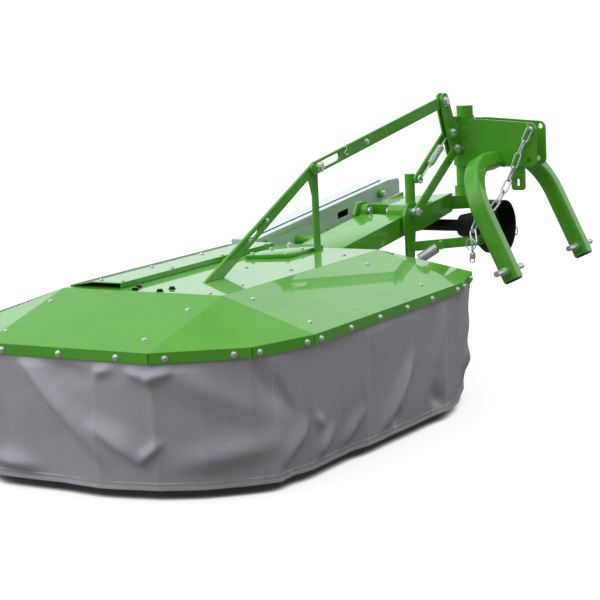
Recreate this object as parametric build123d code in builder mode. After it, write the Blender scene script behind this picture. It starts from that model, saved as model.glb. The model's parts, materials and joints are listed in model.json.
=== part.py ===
from build123d import *
import os
from math import atan2, degrees, hypot

os.makedirs("parts", exist_ok=True)

# Two-drum rear-mounted mower. +X runs to the outer end, +Y forward to the tractor, +Z up from the ground.

# Cover and curtain
COVER_LENGTH = 1800
COVER_WIDTH = 1240
TOP_LENGTH = 994
TOP_WIDTH = 604
TOP_Z = 550
LIP_TOP_Z = 447
LIP_HEIGHT = 33
LIP_SLIT = 3
SHEET = 4
LONG_CORNER = (900, 299)
MID_CORNER = (727, 545)
SHORT_CORNER = (498, 620)
HATCH_FRONT_Y = -100
HATCH_BACK_Y = -215
HATCH_RISE = 18
HATCH_SETBACK = 35
HEM_Z = 30
CURTAIN_T = 4
CURTAIN_DROP = 10
REAR_SPLIT = 16

# Drums, knives and saucers
DRUM_PITCH = 820
DRUM_R = 210
DRUM_WALL = 6
DRUM_TOP_Z = 430
DRUM_BEVEL = 14
FLARE_Z = 160
DISC_R = 310
DISC_Z = 70
DISC_T = 8
RIB_COUNT = 3
RIB_H = 8
RIB_W = 14
RIB_STOP = 30
KNIFE_COUNT = 3
KNIFE_START = {"outer": 30, "inner": 90}
CUT_R = 413
KNIFE_W = 48
KNIFE_T = 4
SPINDLE_R = 30
BEARING_R = 80
SAUCER_R = 265
SAUCER_FOOT_R = 170
SAUCER_RISE = 44
SAUCER_T = 6

# Gear housing and main beam
HOUSING_W = 260
HOUSING_H = 68
HOUSING_SETBACK = 2
BEAM_W = 190
BEAM_H = 75
BEAM_WALL = 8
BEAM_SLOPE = 0.115
BEAM_TOP_AT_END = 590

# Hinge between beam and swing arm, and the arm's plates, measured from the swing pivot
HINGE_OUT = 430
HINGE_Z = 599
HINGE_LAP = 19
HINGE_R = 15
BUSH_R = 25
BUSH_Y = ((19, 101), (-101, -71))
BUSH_ROOT = (20, -18, 30)
PIN_TAIL = 9
ARM_PLATE_T = 12
ARM_GAP = 202
ARM_PLATE = [(490, 523), (490, 592), (460, 634), (400, 634), (365, 606), (90, 632), (90, 560), (365, 520)]
ARM_TAB = [(475, 524), (475, 385), (425, 385), (405, 523)]
BOX_Z = 566
BOX_H = 52
BOX_OUT = 375
BOX_IN = 90

# Swing pivot and headstock
REACH = 1545
PIVOT_Y = 135
PIVOT_R = 28
FOOT_R = 50
PIVOT_TUBE_R = 40
PIVOT_LOW_Z = 653
PIVOT_CAP_Z = 966
HEAD_T = 8
HEAD_TOP_Z = 915
HEAD_FRONT_Z = 899
HEAD_LOW_Z = 732
HEAD_FRONT_Y = 456
HEAD_BEND_Y = 222
HEAD_CORNER = 25
TOP_LINK_LOW = (424, 757)
TOP_LINK_HIGH = (436, 881)
TOP_LINK_R = 9.65
LEG_SPREAD = 670
LEG_SIZE = 65
LEG_CORNER = 16
LEG_BEND = 190
LEG_ROOT = (280, 757)
LOWER_PIN = (462, 377)
LOWER_PIN_R = 11
LOWER_PIN_OUT = 80
PIN_SHANK_R = 14
PIN_BOSS_R = 22
PIN_BOSS_T = 10
LEG_TAIL = 40

# Lift frame, limiter link and mast
LINK_Y = 114
LINK_T = 10
LINK_DEPTH = 45
APEX = (-420, 843)
STRUT_FOOT_X = 244
STRUT_FOOT_W = 46
FRAME_T = 10
FRAME_W = 34
FRAME_PLAY = 1
GUSSET = (22, 70)
STRUT_SLOT = (415, 70, 14)
LIFT_PIN_R = 10
SLOT_LENGTH = 170
MAST = ((150, 992, 33), (96, 866, 38), (80, 803, 31))
MAST_T = 8
STRAP_END = 77
STRAP_TONGUE = 105
STRAP_W = 32
STRAP_T = 12
BRACE_W = (40, 34)
POST_R = 19
POST_AT = (353, 67)
POST_TOP_Z = 735
STUD_R = 6
STUD_END_Y = 120

# Breakaway latch, relief spring and safety chain, places measured from the swing pivot
LATCH_FOOT = (445, 470)
LATCH_PIN = (340, 342, 485)
LATCH_PIN_R = 7
LATCH_PIN_SPAN = (306, 402)
LATCH_T = 10
LATCH_H = 36
FORK_R = 17
LATCH_LUG = (313, 10, 18, 30)
EYE_AT = 112
EYE_R = 15
EYE_LENGTH = 44
COIL_R = 17
COIL_LENGTH = 78
COIL_ROD_R = 6
COIL_FOOT = (462, 400)
RELIEF_R = 12
RELIEF_LENGTH = 110
WIRE_R = 3
HOOK_R = 4
HOOK_OUT = 74
CHAIN_WIRE_R = 3.5
CHAIN_WIDTH = 30
CHAIN_COUNT = 11
CHAIN_PLAY = 0.6
REST = (28, 40, 345, 400, 640, 760)

# Drive line
SHAFT_OUT = 95
SHAFT_Z = 505
SHAFT_TUBE_R = 23
SHAFT_TUBE_Y = 180
SHAFT_R = 15
STUB_R = 17.4
STUB_END_Y = 290
GUARD_FRONT_Y = -200
GUARD_DEPTH = 105
GUARD_SHEET = 3
GUARD_SETBACK = 6
GUARD_END = (32, -53, -63, 195)
GUARD_CORNER = 11
GUARD_LIFT = 18
GUARD_NEAR_Z = 569
GUARD_FAR_Z = 671
GUARD_LOW_Z = 452
GUARD_SLOT = (405, 583, 84, 26, 8)
GUARD_NOTCH = (-561, 528, 30)
FLANGE_R = 60
FLANGE_T = 40
BELL_R = 103
BELL_WALL = 5
BELL_NECK = (150, 42)
BELL_THROAT = (205, 54)
BELL_RIM = (268, 338)
BOSS_R = 18
BEAM_BOSSES = ((-790, 25), (-1020, 56))
FREE_BOSS = (111, 628)

# Fits
SEAT = 0.3
RUN = 0.3
ROOM = 6

# Places worked out from the sizes above
FAR_END = REACH + LEG_SPREAD / 2 + LEG_SIZE / 2 + LOWER_PIN_OUT
CUT_X = (FAR_END - COVER_LENGTH / 2) / 2
PIVOT_X = CUT_X - REACH
HINGE_X = PIVOT_X + HINGE_OUT
BEAM_END = REACH - HINGE_OUT - HINGE_LAP
LIP_Z = LIP_TOP_Z - LIP_HEIGHT
CURTAIN_Z = LIP_TOP_Z - SHEET - CURTAIN_DROP
HOUSING_TOP = TOP_Z - SHEET
HOUSING_Z = HOUSING_TOP - HOUSING_H
HOUSING_HALF = TOP_LENGTH / 2 - HOUSING_SETBACK
STRAP_Z = HEAD_TOP_Z + RUN
DRUM_X = {"outer": CUT_X + DRUM_PITCH / 2, "inner": CUT_X - DRUM_PITCH / 2}


def beam_top(x):
    """Height of the beam's top at x from the cutter's middle, negative to the headstock."""
    return BEAM_TOP_AT_END + BEAM_SLOPE * (-x - BEAM_END)


def keep(block, name):
    """Labels a finished piece and writes it."""
    block.part.label = name
    export_step(block.part, f"parts/{name}.step")


def ring(corners):
    """Mirrors one quarter's corners to the whole outline, anticlockwise."""
    quarter = list(corners)
    half = quarter + [(-x, y) for x, y in reversed(quarter)]
    return half + [(-x, -y) for x, y in half]


def inset(outline, depth):
    """Moves every side of a convex anticlockwise outline inward and meets them again."""
    count = len(outline)
    moved = []
    for i in range(count):
        (x0, y0), (x1, y1) = outline[i], outline[(i + 1) % count]
        size = hypot(x1 - x0, y1 - y0)
        ux, uy = (x1 - x0) / size, (y1 - y0) / size
        moved.append((x0 - uy * depth, y0 + ux * depth, ux, uy))
    points = []
    for i in range(count):
        ax, ay, aux, auy = moved[i - 1]
        bx, by, bux, buy = moved[i]
        along = ((bx - ax) * buy - (by - ay) * bux) / (aux * buy - auy * bux)
        points.append((ax + along * aux, ay + along * auy))
    return points


def at(points, z):
    """Plan points about the cutter's middle, lifted to z in the part's frame."""
    return [(CUT_X + x, y, z) for x, y in points]


LIP = ring([LONG_CORNER, MID_CORNER, SHORT_CORNER])
TOP = ring([(TOP_LENGTH / 2, TOP_WIDTH / 2)])
LIP_IN = inset(LIP, SHEET)
SKIRT_OUT = inset(LIP, SHEET + SEAT / 3)
SKIRT_IN = inset(LIP, SHEET + SEAT / 3 + CURTAIN_T)

# Cover shell, cut into the pressed panels that it is bolted up from
with BuildPart() as shell:
    ConvexPolyhedron(at(LIP, LIP_Z) + at(LIP, LIP_TOP_Z) + at(TOP, TOP_Z))
    ConvexPolyhedron(
        at(LIP_IN, LIP_Z) + at(LIP_IN, LIP_TOP_Z - SHEET) + at(TOP, TOP_Z - SHEET),
        mode=Mode.SUBTRACT,
    )
    # The lip is slit at every corner, where it was folded down
    for (x, y), (x_in, y_in) in zip(LIP, LIP_IN):
        with Locations(Location((CUT_X + x, y, LIP_Z), degrees(atan2(y - y_in, x - x_in)))):
            Box(4 * SHEET, LIP_SLIT, 2 * (LIP_HEIGHT - SHEET), mode=Mode.SUBTRACT)

A, B = TOP_LENGTH / 2, TOP_WIDTH / 2
SX, SY = SHORT_CORNER
REGIONS = {
    "top_plate": [(A, -B), (A, B), (-A, B), (-A, -B)],
    "front_panel": [(A, B), (SX, SY), (-SX, SY), (-A, B)],
    "rear_panel": [(-A, -B), (-SX, -SY), (SX, -SY), (A, -B)],
    "outer_panel": [(A, -B), (SX, -SY), (COVER_LENGTH, -SY), (COVER_LENGTH, SY), (SX, SY), (A, B)],
    "inner_panel": [(-A, B), (-SX, SY), (-COVER_LENGTH, SY), (-COVER_LENGTH, -SY), (-SX, -SY), (-A, -B)],
}


def beam_profile(grow):
    """Side view of the beam, grown on every side but its ends by the given room."""
    inner = -HOUSING_HALF
    return [
        (CUT_X + inner, beam_top(inner) + grow),
        (CUT_X - BEAM_END, beam_top(-BEAM_END) + grow),
        (CUT_X - BEAM_END, beam_top(-BEAM_END) - BEAM_H - grow),
        (CUT_X + inner, beam_top(inner) - BEAM_H - grow),
    ]


GUARD_PITCH = degrees(
    atan2(GUARD_FAR_Z - GUARD_NEAR_Z, REACH - TOP_LENGTH / 2 - GUARD_SETBACK - GUARD_END[0])
)


# Belt guard's side view: the top edge climbs to the headstock, the end at the headstock is deeper
def guard_profile(grow):
    """Side view of the belt guard, grown up, down and to the cutter by the given room."""
    near = CUT_X - TOP_LENGTH / 2 - GUARD_SETBACK + grow
    return [
        (near, GUARD_NEAR_Z + grow),
        (PIVOT_X + GUARD_END[0], GUARD_FAR_Z + grow),
        (PIVOT_X + GUARD_END[1], GUARD_FAR_Z + grow),
        (PIVOT_X + GUARD_END[2], GUARD_FAR_Z - GUARD_CORNER),
        (PIVOT_X + GUARD_END[2], GUARD_LOW_Z + GUARD_LIFT - grow),
        (PIVOT_X + GUARD_END[3], GUARD_LOW_Z - grow),
        (near, GUARD_LOW_Z - grow),
    ]


for name, region in REGIONS.items():
    with BuildPart() as panel:
        add(shell.part)
        with BuildSketch(Plane.XY.offset(LIP_Z)):
            with BuildLine():
                Polyline([(CUT_X + x, y) for x, y in region], close=True)
            make_face()
        extrude(amount=TOP_Z, mode=Mode.INTERSECT)
        if name == "inner_panel":
            # Cut-outs that let the beam and the belt guard come out of the cover
            with BuildSketch(Plane.XZ):
                with BuildLine():
                    Polyline(beam_profile(ROOM), close=True)
                make_face()
            extrude(amount=BEAM_W / 2 + ROOM, both=True, mode=Mode.SUBTRACT)
            with BuildSketch(Plane.XZ.offset(-GUARD_FRONT_Y - ROOM)):
                with BuildLine():
                    Polyline(guard_profile(ROOM), close=True)
                make_face()
            extrude(amount=GUARD_DEPTH + 2 * ROOM, mode=Mode.SUBTRACT)
    keep(panel, name)

# Raised hatch sheet behind the lift frame, with a down-turned front flange
with BuildPart() as hatch:
    back_z = TOP_Z + SEAT
    with BuildSketch(Plane.YZ.offset(CUT_X)):
        with BuildLine():
            Polyline(
                (HATCH_FRONT_Y, back_z),
                (HATCH_FRONT_Y, TOP_Z + HATCH_RISE),
                (HATCH_BACK_Y, TOP_Z + HATCH_RISE),
                (-B, back_z + SHEET),
                (-B, back_z),
                (HATCH_BACK_Y, TOP_Z + HATCH_RISE - SHEET),
                (HATCH_FRONT_Y - SHEET, TOP_Z + HATCH_RISE - SHEET),
                (HATCH_FRONT_Y - SHEET, back_z),
                close=True,
            )
        make_face()
    extrude(amount=TOP_LENGTH / 2 - HATCH_SETBACK, both=True)
keep(hatch, "top_hatch")

# Curtain cloth hung inside the lip, in lengths that meet at the short corners and at the rear middle
with BuildPart() as skirt:
    with BuildSketch(Plane.XY.offset(HEM_Z)):
        with BuildLine():
            Polyline([(CUT_X + x, y) for x, y in SKIRT_OUT], close=True)
        make_face()
        with BuildLine():
            Polyline([(CUT_X + x, y) for x, y in SKIRT_IN], close=True)
        make_face(mode=Mode.SUBTRACT)
    extrude(amount=CURTAIN_Z - HEM_Z)

CURTAINS = {
    "front_curtain": (0, SY, 2 * SX, SY),
    "rear_curtain": (0, -SY, 2 * SX, SY),
    "outer_curtain": (SX + COVER_LENGTH / 2, 0, COVER_LENGTH, 3 * SY),
    "inner_curtain": (-SX - COVER_LENGTH / 2, 0, COVER_LENGTH, 3 * SY),
}
for name, (x, y, length, width) in CURTAINS.items():
    with BuildPart() as curtain:
        add(skirt.part)
        with BuildSketch(Plane.XY):
            with Locations((CUT_X + x, y)):
                Rectangle(length, width)
        extrude(amount=TOP_Z, mode=Mode.INTERSECT)
        if name == "rear_curtain":
            with Locations((CUT_X, -SY, TOP_Z / 2)):
                Box(REAR_SPLIT, SY, TOP_Z, mode=Mode.SUBTRACT)
    keep(curtain, name)

# Gear housing over both drums, one plain block with rounded corners
with BuildPart() as housing:
    with BuildSketch(Plane.XY.offset(HOUSING_Z)):
        with Locations((CUT_X, 0)):
            RectangleRounded(2 * HOUSING_HALF, HOUSING_W, 60)
    extrude(amount=HOUSING_H)
keep(housing, "gear_housing")

with BuildPart() as bearings:
    for x in DRUM_X.values():
        with BuildSketch(Plane.XY.offset(DRUM_TOP_Z + ROOM)):
            with Locations((x, 0)):
                Circle(BEARING_R)
                Circle(SPINDLE_R + RUN, mode=Mode.SUBTRACT)
        extrude(amount=HOUSING_Z - DRUM_TOP_Z - ROOM)
keep(bearings, "spindle_housings")

for side, x in DRUM_X.items():
    axis = Axis((x, 0, 0), (0, 0, 1))
    # Drum barrel: thin shell on its drive spindle, with upright ribs that carry the cut crop round
    with BuildPart() as drum:
        with BuildSketch(Plane.XZ):
            with BuildLine():
                Polyline(
                    (x, HOUSING_Z - SEAT),
                    (x + SPINDLE_R, HOUSING_Z - SEAT),
                    (x + SPINDLE_R, DRUM_TOP_Z),
                    (x + DRUM_R - DRUM_BEVEL, DRUM_TOP_Z),
                    (x + DRUM_R, DRUM_TOP_Z - DRUM_BEVEL),
                    (x + DRUM_R, FLARE_Z),
                    (x + DRUM_R - DRUM_WALL, FLARE_Z),
                    (x + DRUM_R - DRUM_WALL, DRUM_TOP_Z - DRUM_BEVEL),
                    (x + SPINDLE_R, DRUM_TOP_Z - DRUM_BEVEL),
                    (x + SPINDLE_R, SAUCER_T + ROOM),
                    (x, SAUCER_T + ROOM),
                    close=True,
                )
            make_face()
        revolve(axis=axis)
        with BuildSketch(Plane.XY.offset(FLARE_Z)):
            with Locations((x, 0)):
                with PolarLocations(DRUM_R + RIB_H / 2 - 1, RIB_COUNT):
                    Rectangle(RIB_H + 2, RIB_W)
        extrude(amount=DRUM_TOP_Z - FLARE_Z - RIB_STOP)
    keep(drum, f"{side}_drum")

    # Knife disc: flares out from the barrel's foot to the rim
    with BuildPart() as disc:
        with BuildSketch(Plane.XZ):
            with BuildLine():
                Polyline(
                    (x + DRUM_R - DRUM_WALL, FLARE_Z),
                    (x + DRUM_R, FLARE_Z),
                    (x + DRUM_R + 10, FLARE_Z - 45),
                    (x + DISC_R - 20, DISC_Z + DISC_T + 4),
                    (x + DISC_R, DISC_Z + DISC_T),
                    (x + DISC_R, DISC_Z),
                    (x + DISC_R - 30, DISC_Z),
                    (x + DRUM_R, FLARE_Z - 55),
                    close=True,
                )
            make_face()
        revolve(axis=axis)
    keep(disc, f"{side}_disc")

    # Knives under the rim of the disc
    with BuildPart() as knives:
        with BuildSketch(Plane.XY.offset(DISC_Z - KNIFE_T)):
            with Locations((x, 0)):
                with PolarLocations(CUT_R - 60, KNIFE_COUNT, start_angle=KNIFE_START[side]):
                    Rectangle(120, KNIFE_W)
        extrude(amount=KNIFE_T)
    keep(knives, f"{side}_knives")

    # Gliding saucer, free on the spindle's foot
    with BuildPart() as saucer:
        with BuildSketch(Plane.XZ):
            with BuildLine():
                Polyline(
                    (x, 0),
                    (x + SAUCER_FOOT_R, 0),
                    (x + SAUCER_R - 25, SAUCER_RISE / 3),
                    (x + SAUCER_R, SAUCER_RISE),
                    (x + SAUCER_R - SAUCER_T, SAUCER_RISE),
                    (x + SAUCER_R - 30, SAUCER_RISE / 3 + SAUCER_T),
                    (x + SAUCER_FOOT_R, SAUCER_T),
                    (x + SPINDLE_R + 30, SAUCER_T),
                    (x + SPINDLE_R + 30, DISC_Z),
                    (x + SPINDLE_R + RUN, DISC_Z),
                    (x + SPINDLE_R + RUN, SAUCER_T),
                    (x, SAUCER_T),
                    close=True,
                )
            make_face()
        revolve(axis=axis)
    keep(saucer, f"{side}_saucer")

# Main beam: sloping box tube with the hinge bush on its end
with BuildPart() as beam:
    with BuildSketch(Plane.XZ):
        with BuildLine():
            Polyline(beam_profile(0), close=True)
        make_face()
    extrude(amount=BEAM_W / 2, both=True)
    with BuildSketch(Plane.XZ):
        with BuildLine():
            Polyline(beam_profile(-BEAM_WALL), close=True)
        make_face()
    extrude(amount=BEAM_W / 2 - BEAM_WALL, both=True, mode=Mode.SUBTRACT)
    for low, high in BUSH_Y:
        with BuildSketch(Plane.XZ.offset(-low - SEAT)):
            with Locations((HINGE_X, HINGE_Z)):
                Circle(BUSH_R)
            with Locations((HINGE_X + BUSH_ROOT[0], HINGE_Z + BUSH_ROOT[1])):
                Rectangle(BUSH_ROOT[2], BUSH_ROOT[2])
        extrude(amount=-(high - low - 2 * SEAT))
    with BuildSketch(Plane.XZ):
        with Locations((HINGE_X, HINGE_Z)):
            Circle(HINGE_R + RUN)
    extrude(amount=ARM_GAP, both=True, mode=Mode.SUBTRACT)
keep(beam, "main_beam")

# Belt guard: front sheet with a hand slot, and the boxed cover behind it
with BuildPart() as guard_front:
    with BuildSketch(Plane.XZ.offset(-GUARD_FRONT_Y)):
        with BuildLine():
            Polyline(guard_profile(0), close=True)
        make_face()
        with Locations(Location((PIVOT_X + GUARD_SLOT[0], GUARD_SLOT[1]), -GUARD_PITCH)):
            RectangleRounded(*GUARD_SLOT[2:], mode=Mode.SUBTRACT)
        with Locations((CUT_X + GUARD_NOTCH[0], GUARD_NOTCH[1])):
            Circle(GUARD_NOTCH[2], mode=Mode.SUBTRACT)
    extrude(amount=GUARD_SHEET)
keep(guard_front, "guard_front")

with BuildPart() as guard_cover:
    with BuildSketch(Plane.XZ.offset(-GUARD_FRONT_Y + GUARD_SHEET)):
        with BuildLine():
            Polyline(guard_profile(0), close=True)
        make_face()
    extrude(amount=GUARD_DEPTH - GUARD_SHEET)
    with BuildSketch(Plane.XZ.offset(-GUARD_FRONT_Y + GUARD_SHEET)):
        with BuildLine():
            Polyline(guard_profile(0), close=True)
        make_face()
        offset(amount=-GUARD_SHEET)
    extrude(amount=GUARD_DEPTH - 2 * GUARD_SHEET, mode=Mode.SUBTRACT)
keep(guard_cover, "guard_cover")

# Spacer bosses between the beam and the guard's front sheet
with BuildPart() as bosses:
    with BuildSketch(Plane.XZ.offset(BEAM_W / 2)):
        for x, drop in BEAM_BOSSES:
            with Locations((CUT_X + x, beam_top(x) - drop)):
                Circle(BOSS_R)
    extrude(amount=-GUARD_FRONT_Y - BEAM_W / 2)
    with BuildSketch(Plane.XZ.offset(-GUARD_FRONT_Y)):
        with Locations((PIVOT_X + FREE_BOSS[0], FREE_BOSS[1])):
            Circle(BOSS_R)
    extrude(amount=-BOSS_R)
keep(bosses, "guard_bosses")

# Input shaft housing under the swing arm, the black bell round the stub
SHAFT_AT = (PIVOT_X + SHAFT_OUT, SHAFT_Z)
with BuildPart() as shaft_housing:
    with BuildSketch(Plane.XZ.offset(-GUARD_FRONT_Y)):
        with Locations(SHAFT_AT):
            Circle(SHAFT_TUBE_R)
            Circle(SHAFT_R + RUN, mode=Mode.SUBTRACT)
    extrude(amount=-(-GUARD_FRONT_Y + SHAFT_TUBE_Y))
    with BuildSketch(Plane.XZ.offset(-GUARD_FRONT_Y)):
        with Locations(SHAFT_AT):
            Circle(FLANGE_R)
            Circle(SHAFT_TUBE_R - 1, mode=Mode.SUBTRACT)
    extrude(amount=-FLANGE_T)
keep(shaft_housing, "shaft_housing")

with BuildPart() as bell:
    with BuildSketch(Plane.XY.offset(SHAFT_Z)):
        with BuildLine():
            Polyline(
                (SHAFT_AT[0] + SHAFT_TUBE_R + SEAT, BELL_NECK[0]),
                (SHAFT_AT[0] + BELL_NECK[1], BELL_NECK[0]),
                (SHAFT_AT[0] + BELL_THROAT[1], BELL_THROAT[0]),
                (SHAFT_AT[0] + BELL_R, BELL_RIM[0]),
                (SHAFT_AT[0] + BELL_R, BELL_RIM[1]),
                (SHAFT_AT[0] + BELL_R - BELL_WALL, BELL_RIM[1]),
                (SHAFT_AT[0] + BELL_R - BELL_WALL, BELL_RIM[0] + BELL_WALL / 2),
                (SHAFT_AT[0] + BELL_THROAT[1] - BELL_WALL, BELL_THROAT[0] + BELL_WALL),
                (SHAFT_AT[0] + SHAFT_TUBE_R + SEAT, SHAFT_TUBE_Y + 2 * BELL_WALL),
                close=True,
            )
        make_face()
    revolve(axis=Axis((SHAFT_AT[0], 0, SHAFT_Z), (0, 1, 0)))
keep(bell, "pto_bell")

# Splined input stub, turning in its housing
with BuildPart() as stub:
    with BuildSketch(Plane.XZ.offset(-GUARD_FRONT_Y)):
        with Locations(SHAFT_AT):
            Circle(SHAFT_R)
    extrude(amount=-(-GUARD_FRONT_Y + SHAFT_TUBE_Y + ROOM))
    with BuildSketch(Plane.XZ.offset(-SHAFT_TUBE_Y - ROOM)):
        with Locations(SHAFT_AT):
            Circle(STUB_R)
    extrude(amount=-(STUB_END_Y - SHAFT_TUBE_Y - ROOM))
keep(stub, "pto_stub")

# Lift frame on the top plate: post and strut of one thickness, behind the limiter link
APEX_AT = (CUT_X + APEX[0], APEX[1])
FRAME_Y = LINK_Y - LINK_T / 2 - FRAME_PLAY - FRAME_T
POST_SIDE = APEX_AT[0] + FRAME_W / 2
with BuildPart() as post:
    with BuildSketch(Plane.XZ.offset(-FRAME_Y)):
        with Locations((APEX_AT[0], (APEX[1] + TOP_Z) / 2)):
            Rectangle(FRAME_W, APEX[1] - TOP_Z)
        with Locations(APEX_AT):
            Circle(FRAME_W / 2)
            Circle(LIFT_PIN_R, mode=Mode.SUBTRACT)
    extrude(amount=-FRAME_T)
keep(post, "lift_post")

with BuildPart() as strut:
    rise = APEX[1] - TOP_Z
    run = STRUT_FOOT_X - APEX[0]
    size = hypot(rise, run)
    foot_half = STRUT_FOOT_W / 2 * size / rise
    drop = FRAME_W / 2 * size / run
    side_z = APEX[1] - rise / run * FRAME_W / 2
    under = side_z - drop
    foot_in = CUT_X + STRUT_FOOT_X - foot_half
    under_slope = (under - TOP_Z) / (foot_in - POST_SIDE)
    slot_at = (APEX_AT[0] + STRUT_SLOT[0], APEX[1] - rise / run * STRUT_SLOT[0])
    with BuildSketch(Plane.XZ.offset(-FRAME_Y)):
        with BuildLine():
            Polyline(
                (POST_SIDE, side_z + drop),
                (CUT_X + STRUT_FOOT_X + foot_half, TOP_Z),
                (foot_in, TOP_Z),
                (POST_SIDE + GUSSET[0], under - under_slope * GUSSET[0]),
                (POST_SIDE, under - GUSSET[1]),
                close=True,
            )
        make_face()
        with Locations(Location(slot_at, -degrees(atan2(rise, run)))):
            SlotOverall(STRUT_SLOT[1], STRUT_SLOT[2], mode=Mode.SUBTRACT)
    extrude(amount=-FRAME_T)
keep(strut, "lift_strut")

with BuildPart() as lift_pin:
    with BuildSketch(Plane.XZ.offset(-FRAME_Y + LIFT_PIN_R)):
        with Locations(APEX_AT):
            Circle(LIFT_PIN_R - 0.1)
    extrude(amount=-(FRAME_T + FRAME_PLAY + LINK_T + 3 * LIFT_PIN_R))
keep(lift_pin, "lift_pin")

# Limiter link: flat bar from the mast's top pin, slotted over the lift pin
MAST_AT = [(PIVOT_X + x, z, r) for x, z, r in MAST]
QX, QZ, _ = MAST_AT[0]
PX, PZ = APEX_AT
LINK_LEN = hypot(PX - QX, PZ - QZ)
LINK_PLANE = Plane(
    origin=(QX, LINK_Y - LINK_T / 2, QZ), x_dir=((PX - QX), 0, (PZ - QZ)), z_dir=(0, 1, 0)
)
with BuildPart() as link:
    with BuildSketch(LINK_PLANE):
        with Locations((LINK_LEN / 2 + 8, 0)):
            SlotOverall(LINK_LEN + LINK_DEPTH + 16, LINK_DEPTH)
        Circle(LIFT_PIN_R + RUN, mode=Mode.SUBTRACT)
        slot_end = LINK_LEN + LIFT_PIN_R + RUN
        with Locations((slot_end - SLOT_LENGTH / 2, 0)):
            SlotOverall(SLOT_LENGTH, 2 * LIFT_PIN_R + 6, mode=Mode.SUBTRACT)
    extrude(amount=LINK_T)
keep(link, "limiter_link")

# Swing arm: two side plates on the hinge pin, the front one with a tab below, a cross box, the pivot's foot
ARM_LAYERS = (ARM_GAP / 2, -ARM_GAP / 2 - ARM_PLATE_T)
with BuildPart() as arm_plates:
    for y in ARM_LAYERS:
        with BuildSketch(Plane.XZ.offset(-y)):
            with BuildLine():
                Polyline([(PIVOT_X + x, z) for x, z in ARM_PLATE], close=True)
            make_face()
            if y > 0:
                with BuildLine():
                    Polyline([(PIVOT_X + x, z) for x, z in ARM_TAB], close=True)
                make_face()
            with Locations((HINGE_X, HINGE_Z)):
                Circle(HINGE_R, mode=Mode.SUBTRACT)
        extrude(amount=-ARM_PLATE_T)
keep(arm_plates, "arm_plates")

with BuildPart() as arm_box:
    with BuildSketch(Plane.XY.offset(BOX_Z)):
        with Locations((PIVOT_X + (BOX_OUT + BOX_IN) / 2, 0)):
            Rectangle(BOX_OUT - BOX_IN, ARM_GAP)
        with BuildLine():
            Polyline(
                (PIVOT_X + BOX_IN, -60),
                (PIVOT_X + BOX_IN, ARM_GAP / 2),
                (PIVOT_X + 30, PIVOT_Y + 40),
                (PIVOT_X - 40, PIVOT_Y - 30),
                close=True,
            )
        make_face()
        with Locations((PIVOT_X, PIVOT_Y)):
            Circle(FOOT_R)
    extrude(amount=BOX_H)
    with BuildSketch(Plane.XY.offset(BOX_Z + BOX_H)):
        with Locations((PIVOT_X, PIVOT_Y)):
            Circle(FOOT_R - 2)
    extrude(amount=PIVOT_LOW_Z - RUN - BOX_Z - BOX_H)
keep(arm_box, "arm_box")

HINGE_PINS = (
    (BUSH_Y[0][0] - PIN_TAIL, LINK_Y + 25),
    (-ARM_GAP / 2 - 30, BUSH_Y[1][1] + PIN_TAIL),
)
with BuildPart() as hinge_pin:
    for low, high in HINGE_PINS:
        with BuildSketch(Plane.XZ.offset(-low)):
            with Locations((HINGE_X, HINGE_Z)):
                Circle(HINGE_R - 0.1)
        extrude(amount=-(high - low))
keep(hinge_pin, "hinge_pin")

# Pivot shaft standing on the arm's foot, with its cap above the headstock
with BuildPart() as pivot_shaft:
    with BuildSketch(Plane.XY.offset(PIVOT_LOW_Z - RUN)):
        with Locations((PIVOT_X, PIVOT_Y)):
            Circle(PIVOT_R)
    extrude(amount=STRAP_Z + STRAP_T - PIVOT_LOW_Z + RUN)
    with BuildSketch(Plane.XY.offset(STRAP_Z + STRAP_T)):
        with Locations((PIVOT_X, PIVOT_Y)):
            Circle(PIVOT_R + 4)
    extrude(amount=PIVOT_CAP_Z - STRAP_Z - STRAP_T)
keep(pivot_shaft, "pivot_shaft")

# Strap under the cap that ties the mast to the pivot shaft, its tongue between the mast's plates
with BuildPart() as strap:
    with BuildSketch(Plane.XY.offset(STRAP_Z)):
        with Locations((PIVOT_X, PIVOT_Y)):
            Circle(PIVOT_R + 8)
        with Locations((PIVOT_X + STRAP_END / 2, LINK_Y)):
            Rectangle(STRAP_END, STRAP_W)
        with Locations((PIVOT_X + STRAP_TONGUE / 2, LINK_Y)):
            Rectangle(STRAP_TONGUE, LINK_T)
        with Locations((PIVOT_X, PIVOT_Y)):
            Circle(PIVOT_R + 0.1, mode=Mode.SUBTRACT)
    extrude(amount=STRAP_T)
keep(strap, "mast_strap")

# Mast: two plates either side of the limiter link, on pins
MAST_LAYERS = (LINK_Y + LINK_T / 2 + SEAT, LINK_Y - LINK_T / 2 - SEAT - MAST_T)
with BuildPart() as mast:
    for y in MAST_LAYERS:
        with BuildSketch(Plane.XZ.offset(-y)):
            for x, z, r in MAST_AT:
                with Locations((x, z)):
                    Circle(r)
            make_hull()
            for x, z, r in MAST_AT:
                with Locations((x, z)):
                    Circle(LIFT_PIN_R, mode=Mode.SUBTRACT)
        extrude(amount=-MAST_T)
keep(mast, "mast_plates")

with BuildPart() as mast_pins:
    for x, z, r in MAST_AT:
        with BuildSketch(Plane.XZ.offset(-(MAST_LAYERS[1] - 12))):
            with Locations((x, z)):
                Circle(LIFT_PIN_R - 0.1)
        extrude(amount=-(MAST_LAYERS[0] - MAST_LAYERS[1] + MAST_T + 24))
keep(mast_pins, "mast_pins")


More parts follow.
